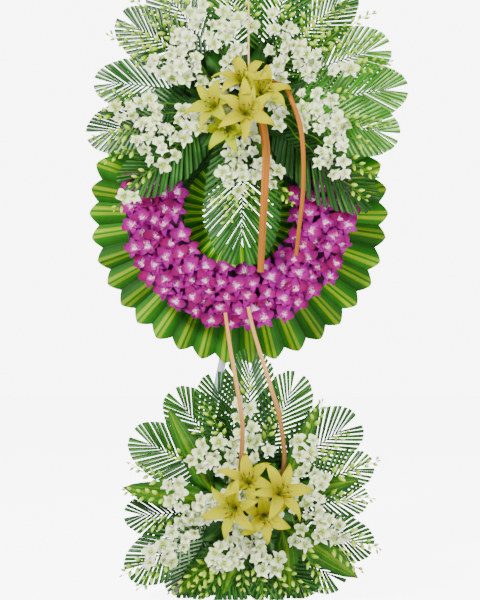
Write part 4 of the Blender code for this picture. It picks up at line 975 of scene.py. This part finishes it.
def closedRing(points, faceOut):
    # Quads of a ring of sections that closes on itself.
    n, s = points.shape[:2]
    i, j = np.meshgrid(np.arange(n), np.arange(s), indexing="ij")
    here, following = i * s, (i + 1) % n * s
    beside = (j + 1) % s
    faces = np.stack([here + j, following + j, following + beside, here + beside], -1).reshape(-1, 4)
    return faces if faceOut else faces[:, ::-1]


# The crescent: blooms in rows on a pad painted dark as the shade between them, whose section is given as
# radius and depth.
band = {"start": 157.0, "end": 387.0, "sectors": 6, "spacing": 0.0455,
        "rows": (0.168, 0.202, 0.236, 0.270, 0.302),
        "pad": ((0.155, -0.0455), (0.313, -0.0455), (0.303, -0.056), (0.165, -0.056)), "padFront": -0.0575,
        "forward": (0.010, 0.024), "scale": (1.08, 1.24), "closed": (0.0, 0.40)}
sectorSpan = (band["end"] - band["start"]) / band["sectors"]
for sector in range(band["sectors"]):
    surface = Surface()
    low = band["start"] + sector * sectorSpan
    steps = np.linspace(low + 0.1, low + sectorSpan - 0.1, 9)
    pad = np.stack([onRing(radius, steps, y) for radius, y in band["pad"]], 1)
    faces = tubeFaces(*pad.shape[:2])[:, ::-1]
    surface.add(pad.reshape(1, -1, 3), faces, np.zeros((pad.size // 3, 2)), 0.5, 2)
    for row, radius in enumerate(band["rows"]):
        outerRow = radius == band["rows"][-1]
        count = max(2, round(math.radians(sectorSpan) * radius / band["spacing"]))
        stagger = 0.22 if row % 2 else -0.22
        degrees = low + sectorSpan * (np.arange(count) + 0.5 + stagger) / count + spread(-1.6, 1.6, count)
        forward = spread(*band["forward"], count) - (0.004 if outerRow else 0.0)
        centre = onRing(radius + spread(-0.007, 0.007, count), degrees, band["padFront"] - forward)
        outward = unit(centre - np.array([0, 0, ringZ])) * np.array([1, 0, 1])
        tilt = np.stack([spread(-0.35, 0.35, count), np.zeros(count), spread(-0.25, 0.45, count)], 1)
        facing = unit(frontAxis + tilt + outward * (0.35 if outerRow else 0.0))
        roll, scale = spread(-0.9, 0.9, count), spread(*band["scale"], count)
        tone = spread(0, 1, count)
        addBlooms(surface, centre, facing, roll, scale, tone, spread(*band["closed"], count), (0.0, 0.35))
    name = str(sector + 1)
    makePiece({"name": "orchidBand" + name, "replaces": ["orchid_band_" + name], "slot": "purple_orchid",
               "materials": [purplePetal, purpleLip, shadePad]}, surface)
print("orchid band done")

# Each rim leaf runs from a point inside the ring to a point outside it, folded along its rib. Its ends run
# back from the rib by a power of the way across, and its depth grows with the fold.
rim = {"leaves": 38, "sectors": 6, "inner": 0.085, "innerNotch": 0.019, "outer": 0.421, "outerNotch": 0.025,
       "lap": 1.025, "back": 0.0165, "fold": 0.024, "pleats": 5, "pleatHeight": 0.0006, "wave": 0.0010,
       "thickness": 0.0011}
pitch = 360 / rim["leaves"]
for sector in range(rim["sectors"]):
    first, last = (round(step * rim["leaves"] / rim["sectors"]) for step in (sector, sector + 1))
    count = last - first
    middle = 90 + pitch * (np.arange(first, last) + 0.5)
    u = np.linspace(0, 1, 22)[None, :, None]
    v = np.linspace(-1, 1, 11)[None, None, :]
    fold = np.abs(v)
    inner = rim["inner"] + rim["innerNotch"] * fold ** 1.2
    outer = rim["outer"] - rim["outerNotch"] * fold ** 1.4 + each(-0.003, 0.003, count)
    radius = inner + (outer - inner) * u
    degrees = middle[:, None, None] + pitch / 2 * rim["lap"] * v + each(-0.12, 0.12, count) * u
    ridge = rim["pleatHeight"] * np.cos(v * np.pi * rim["pleats"]) * np.minimum(1, radius / 0.3)
    y = rim["back"] + rim["fold"] * radius * (fold ** 1.25) - ridge
    y = y - rim["wave"] * np.cos(2.2 * u * np.pi) * (1 - fold)
    surface = Surface()
    addSheets(surface, onRing(radius, degrees, y), rim["thickness"], spread(0, 1, count), 0)
    name = str(sector + 1)
    makePiece({"name": "leafRim" + name, "replaces": ["leaf_rim_" + name], "slot": "striped_cordyline_rim",
               "materials": [rimGreen], "sharp": 70}, surface)

# The straw ring is wound with leaf bands, each one lapping over the last. Its section is radius and depth.
straw = {"bands": 44, "steps": 6, "lap": 0.0018, "inset": 0.0008, "middle": (0.231, -0.015),
         "section": ((0.1535, -0.015), (0.158, -0.034), (0.172, -0.0435), (0.230, -0.0437), (0.288, -0.0435),
                     (0.303, -0.034), (0.3085, -0.015), (0.304, 0.004), (0.294, 0.0135), (0.230, 0.0137),
                     (0.166, 0.0135), (0.157, 0.004))}
surface = Surface()
turns = np.arange(straw["bands"] * straw["steps"])
lapped = (turns % straw["steps"]) / straw["steps"]
section = np.array(straw["section"])
sides = len(section)
swelling = straw["lap"] * lapped[:, None, None] - straw["inset"]
ring = section[None] + unit(section - np.array(straw["middle"]))[None] * swelling
points = onRing(ring[..., 0], 360 * turns[:, None] / len(turns), ring[..., 1])
uv = gridUv(lapped, np.arange(sides) / sides)[:, ::-1]
surface.add(points.reshape(1, -1, 3), closedRing(points, True), uv, 0.5, 0)
makePiece({"name": "wrappedStrawRing", "replaces": ["straw_ring"], "slot": "bound_straw",
           "materials": [wrapGreen], "sharp": 28}, surface)

# Wire frame: two hoops and six rungs behind the leaves.
wire = {"hoops": (0.180, 0.340), "radius": 0.0034, "depth": 0.0292, "rungs": 6, "rungRadius": 0.0024}
surface = Surface()
degrees = np.linspace(0, 360, 96, endpoint=False)[:, None]
turn = 2 * np.pi * np.arange(8) / 8
for radius in wire["hoops"]:
    points = onRing(radius + wire["radius"] * np.cos(turn)[None], degrees,
                    wire["depth"] + wire["radius"] * np.sin(turn)[None])
    surface.add(points.reshape(1, -1, 3), closedRing(points, False), np.zeros((points.size // 3, 2)), 0.5, 0)
degrees = 360 / wire["rungs"] * (np.arange(wire["rungs"]) + 0.5)
start, end = (onRing(radius, degrees, wire["depth"]) for radius in wire["hoops"])
straightTubes(surface, start, end, [wire["rungRadius"]] * 3, 0.5, 0, 8)
makePiece({"name": "ringWireFrame", "replaces": ["ring_wire_frame"], "slot": "galvanised_wire",
           "materials": [wireGrey], "sharp": 60}, surface)
print("ring done")


# Broad leaves, lilies and strips


broadLeaf = {"thickness": 0.0010, "fold": 0.0045, "pleats": 5, "pleatHeight": 0.0006, "wave": 0.0035,
             "bend": 0.006, "arch": 0.05, "stalk": (0.0022, 0.0022, 0.0018),
             "ends": ([0, 0.12, 0.24, 0.93, 1], [0.10, 0.30, 1, 1, 0.25])}


def addBroadLeaf(surface, path, foot, halfWidth):
    # A long pointed blade: its half width is a power of a sine of its length, drawn in at both ends. It is
    # folded along its rib, pleated, and waved at its edges.
    spec = broadLeaf
    t = np.linspace(0, 1, 26)
    v = np.linspace(-1, 1, 11)
    point, _, side, front = path.frame(t)
    width = halfWidth * np.sin(np.pi * (0.12 + 0.86 * t)) ** 0.8 * np.interp(t, *spec["ends"])
    fold = -spec["fold"] * np.abs(v)[None] * np.minimum(1, width / 0.01)[:, None]
    pleats = spec["pleatHeight"] * np.cos(v * np.pi * spec["pleats"])[None]
    pleats = pleats * np.minimum(1, width / 0.02)[:, None]
    wave = spec["wave"] * np.sin(t * 9 + spread(0, 6))[:, None] * (v ** 2 * np.sign(v))[None]
    grid = point[:, None] + side[:, None] * (width[:, None] * v[None])[..., None]
    grid = grid + front[:, None] * (fold + pleats + wave)[..., None]
    grid[..., 2] = np.maximum(grid[..., 2], lowest / 2)
    addSheets(surface, grid[None], spec["thickness"], spread(0.1, 0.9), 0)
    straightTubes(surface, foot[None], path.at(0.06)[None], spec["stalk"], 0.5, 1, 6)


bend, arch = broadLeaf["bend"], broadLeaf["arch"]
for number, leaves in enumerate(leafNodes, 1):
    surface = Surface()
    joint = None
    for angle, length, halfWidth in leaves:
        path, foot, joint = lower.branch(joint, angle, length, layers[4], bend, arch)
        addBroadLeaf(surface, path, foot, halfWidth)
    makePiece({"name": "cordylineLeaf" + str(number), "replaces": ["cordyline_leaf_" + str(number)],
               "slot": "striped_cordyline_leaf", "materials": [broadGreen, stemGreen], "sharp": 70}, surface)


lily = {"halfWidth": (0.0134, 0.0164), "thickness": 0.0009, "channel": 0.55, "rib": 0.0016, "wave": 0.0026,
        "sway": 0.006, "filament": 0.0008, "antherLength": 0.010, "antherGirth": 0.0017,
        "footInset": 0.014, "footDepth": 0.010, "stalk": (0.0032, 0.0032, 0.0036),
        "style": (0.002, 0.0015, 0.0012, 0.0012, 0.0014, 0.0026)}


def addLily(surface, heart, facing, roll, length, green):
    # Petal line: out grows as u^1.3 and forward rises, then falls back to the curled tip.
    across = unit(np.cross(facing, upAxis))
    over = unit(np.cross(across, facing))
    u = np.linspace(0, 1, 20)[:, None]
    v = np.linspace(-1, 1, 9)[None, :]
    for k in range(6):
        inner = k % 2
        turn = math.radians(roll + 60 * k) + spread(-0.08, 0.08)
        reach = length * spread(0.94, 1.04)
        outward = across * math.cos(turn) + over * math.sin(turn)
        beside = np.cross(outward, facing)
        half = lily["halfWidth"][inner] * np.sin(np.pi * (0.06 + 0.93 * u) ** 0.92) ** 0.85
        half = half * (1.06 - 0.30 * u ** 3)
        curl = np.maximum(0, u - 0.70) ** 2 * spread(0.6, 2.4)
        out = reach * (0.94 * u ** 1.3 - 0.25 * curl)
        rise = reach * (1.10 * u ** 0.9 - 0.62 * u ** 2.2 - 1.0 * curl) + (0.003 if inner else -0.001)
        channel = lily["channel"] * half * v ** 2 * (1.15 - u)
        channel = channel - lily["rib"] * np.exp(-(v / 0.14) ** 2) * (1.1 - u)
        wave = lily["wave"] * np.sin(u * 12 + spread(0, 6)) * np.abs(v) ** 3 * np.sign(v + spread(-0.5, 0.5))
        sway = lily["sway"] * spread(-1, 1) * u ** 2
        grid = heart + outward * out[..., None] + facing * (rise + channel + wave)[..., None]
        grid = grid + beside * (half * v + sway)[..., None]
        tone = green * (0.8 if inner else 1.0)
        addSheets(surface, grid[None], lily["thickness"], np.clip(tone + spread(-0.08, 0.08), 0, 1), 0)
        # Stamen between this petal and the next, with a swinging anther.
        turn += math.pi / 6
        outward = across * math.cos(turn) + over * math.sin(turn)
        steps = np.linspace(0, 1, 7)[:, None]
        line = heart + facing * (0.56 * length * steps) + outward * (0.16 * length * steps ** 1.6)
        addTubes(surface, line[None], across, over, lily["filament"], 0.5, 1)
        pod = unit(outward * 0.6 + over * spread(-0.8, 0.8) + across * spread(-0.8, 0.8))
        podStart = line[-1] - pod * lily["antherLength"] / 2
        addBuds(surface, podStart[None], pod[None], np.array([lily["antherLength"]]),
                np.array([lily["antherGirth"]]), 0.5, 2)
    steps = np.linspace(0, 1, 6)[:, None]
    line = heart + facing * (0.66 * length * steps)
    addTubes(surface, line[None], across, over, np.array([lily["style"]]), 0.5, 1)


for name, (spray, heads) in lilyNodes.items():
    surface = Surface()
    for x, z, standoff, leanX, leanZ, roll, length, green in heads:
        limitX, limitZ = spongeWidth - lily["footInset"], spongeHeight - lily["footInset"]
        footX = spray.x + np.clip(x - spray.x, -limitX, limitX)
        footZ = spray.z + np.clip(z - spray.z, -limitZ, limitZ)
        root = np.array([footX, spray.foamFront + lily["footDepth"], footZ])
        heart = np.array([x, spray.foamFront - standoff, z])
        facing = unit(np.array([leanX, -1.0, leanZ]))
        straightTubes(surface, root[None], heart[None], lily["stalk"], 0.5, 1, 8)
        addLily(surface, heart, facing, roll, length, green)
    makePiece({"name": name.replace("_", "") + "Heads", "replaces": [name], "slot": "yellow_lily",
               "materials": [lilyPetal, filament, anther], "sharp": 60}, surface)


# A strip's section is a flat lens with a shallow groove on each face, given across and through.
strip = {"finishes": (rattanOrange, rattanOrange, rattanCream, rattanPale, rattanPale), "steps": 60,
         "halfThickness": 0.0009, "tip": 0.8,
         "section": ((-1, 0), (-0.96, 0.5), (-0.5, 0.72), (0, 0.62), (0.5, 0.72), (0.96, 0.5), (1, 0),
                     (0.96, -0.5), (0.5, -0.6), (0, -0.6), (-0.5, -0.6), (-0.96, -0.5))}
section = np.array(strip["section"])
for number, (width, route) in enumerate(strips, 1):
    surface = Surface()
    steps = strip["steps"]
    line = smoothRoute(route, steps)
    along = unit(np.gradient(line, axis=0))
    side = unit(np.cross(along, frontAxis))
    side[:10] = side[10]
    for i in range(1, steps):
        side[i] *= 1 if side[i] @ side[i - 1] > 0 else -1
    front = unit(np.cross(along, side))
    taper = np.interp(np.linspace(0, 1, steps), [0, 0.5, 1], [1.0, 1.0, strip["tip"]])
    across = (section[:, 0] * width / 2)[None, :, None] * taper[:, None, None]
    through = (section[:, 1] * strip["halfThickness"])[None, :, None]
    points = line[:, None] + side[:, None] * across + front[:, None] * through
    uv = gridUv(np.linspace(0, 1, steps), np.linspace(0, 1, len(section)))
    surface.add(points.reshape(1, -1, 3), tubeFaces(steps, len(section)), uv, 0.5, 0)
    makePiece({"name": "rattanStrip" + str(number), "replaces": ["rattan_strip_" + str(number)],
               "slot": "rattan", "materials": [strip["finishes"][number - 1]], "sharp": 70}, surface)
print("leaves, lilies and strips done")


# The stand, brackets and foam keep their CAD solids, with softened edges

# Each slot with its finish, and its solids with the radius that softens their edges.
carried = (
    ("painted_grey_board", boardGrey, {"base_plinth": 0.0}),
    ("painted_pale_steel", steelPale, {
        "strut_left": 0.0, "strut_right": 0.0, "strut_rear": 0.0, "apex_plate": 0.0012,
        "upper_bracket": 0.0008, "lower_bracket": 0.0008}),
    ("floral_foam", foamGreen, {"upper_foam": 0.0, "lower_foam": 0.0}))
solids = [(name, softness, slotName, finish) for slotName, finish, group in carried
          for name, softness in group.items()]
for name, softness, slotName, finish in solids:
    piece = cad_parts[name]
    piece.data.materials.clear()
    piece.data.materials.append(finish)
    if softness:
        edges = piece.modifiers.new("edges", "BEVEL")
        edges.width, edges.segments, edges.limit_method = softness, 2, "ANGLE"
print("stand done, triangles added:", sum(triangles.values()), "most in one:", max(triangles.values()))


# Floor, light and camera

# The floor and the studio look bright, and light the wreath more softly than they look.
studio = {"half": 9, "floorColour": "#f0f0f0", "floorSeen": 7.0, "wallColour": "#fcfcfc", "wallSeen": 7.5,
          "ambient": 0.30}
corners = [(x * studio["half"], y * studio["half"], 0) for x, y in ((-1, -1), (1, -1), (1, 1), (-1, 1))]
floorMesh = bpy.data.meshes.new("floor")
floorMesh.from_pydata(corners, [], [(0, 1, 2, 3)])
floor = linked("floor", floorMesh)
finish, tree, shader = newMaterial("paleFloor", Roughness=0.9, Emission_Color=colour("#ffffff"),
                                   Base_Color=colour(studio["floorColour"]))
seen = node(tree, "LightPath").outputs["Is Camera Ray"]
tree.links.new(math2(tree, "MULTIPLY", seen, studio["floorSeen"]), shader.inputs["Emission Strength"])
floorMesh.materials.append(finish)
floor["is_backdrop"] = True

world = bpy.data.worlds.new("studio")
bpy.context.scene.world = world
world.use_nodes = True
tree = world.node_tree
background = tree.nodes["Background"]
background.inputs["Color"].default_value = colour(studio["wallColour"])
seen = math2(tree, "MULTIPLY", node(tree, "LightPath").outputs["Is Camera Ray"], studio["wallSeen"])
tree.links.new(math2(tree, "ADD", seen, studio["ambient"]), background.inputs["Strength"])


def areaLight(name, place, target, size, power, tint):
    data = bpy.data.lights.new(name, "AREA")
    data.shape, data.size, data.energy, data.color = "DISK", size, power, colour(tint)[:3]
    lamp = linked(name, data)
    lamp.location = place
    lamp.rotation_euler = (Vector(place) - Vector(target)).to_track_quat("Z", "Y").to_euler()


areaLight("keyLight", (-2.3, -3.2, 3.3), (0, 0, 0.9), 1.0, 385, "#fffdfa")
areaLight("fillLight", (2.6, -3.4, 1.4), (0, 0, 0.8), 2.4, 190, "#fbfcff")
areaLight("rimLight", (0.8, 2.6, 2.8), (0, 0, 1.1), 1.6, 60, "#ffffff")

# The photo is 600 pixels high, 2.8 mm each at the wreath, and is seen level.
view = {"distance": 4.5, "height": 600 * 0.0028, "middle": (0.0042, 0.812)}
camera = linked("camera", bpy.data.cameras.new("camera"))
camera.location = (view["middle"][0], -view["distance"], view["middle"][1])
camera.rotation_euler = (math.radians(90), 0, 0)
camera.data.lens = camera.data.sensor_width * view["distance"] / view["height"]
camera.data.clip_end = 60
bpy.context.scene.camera = camera

low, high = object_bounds()
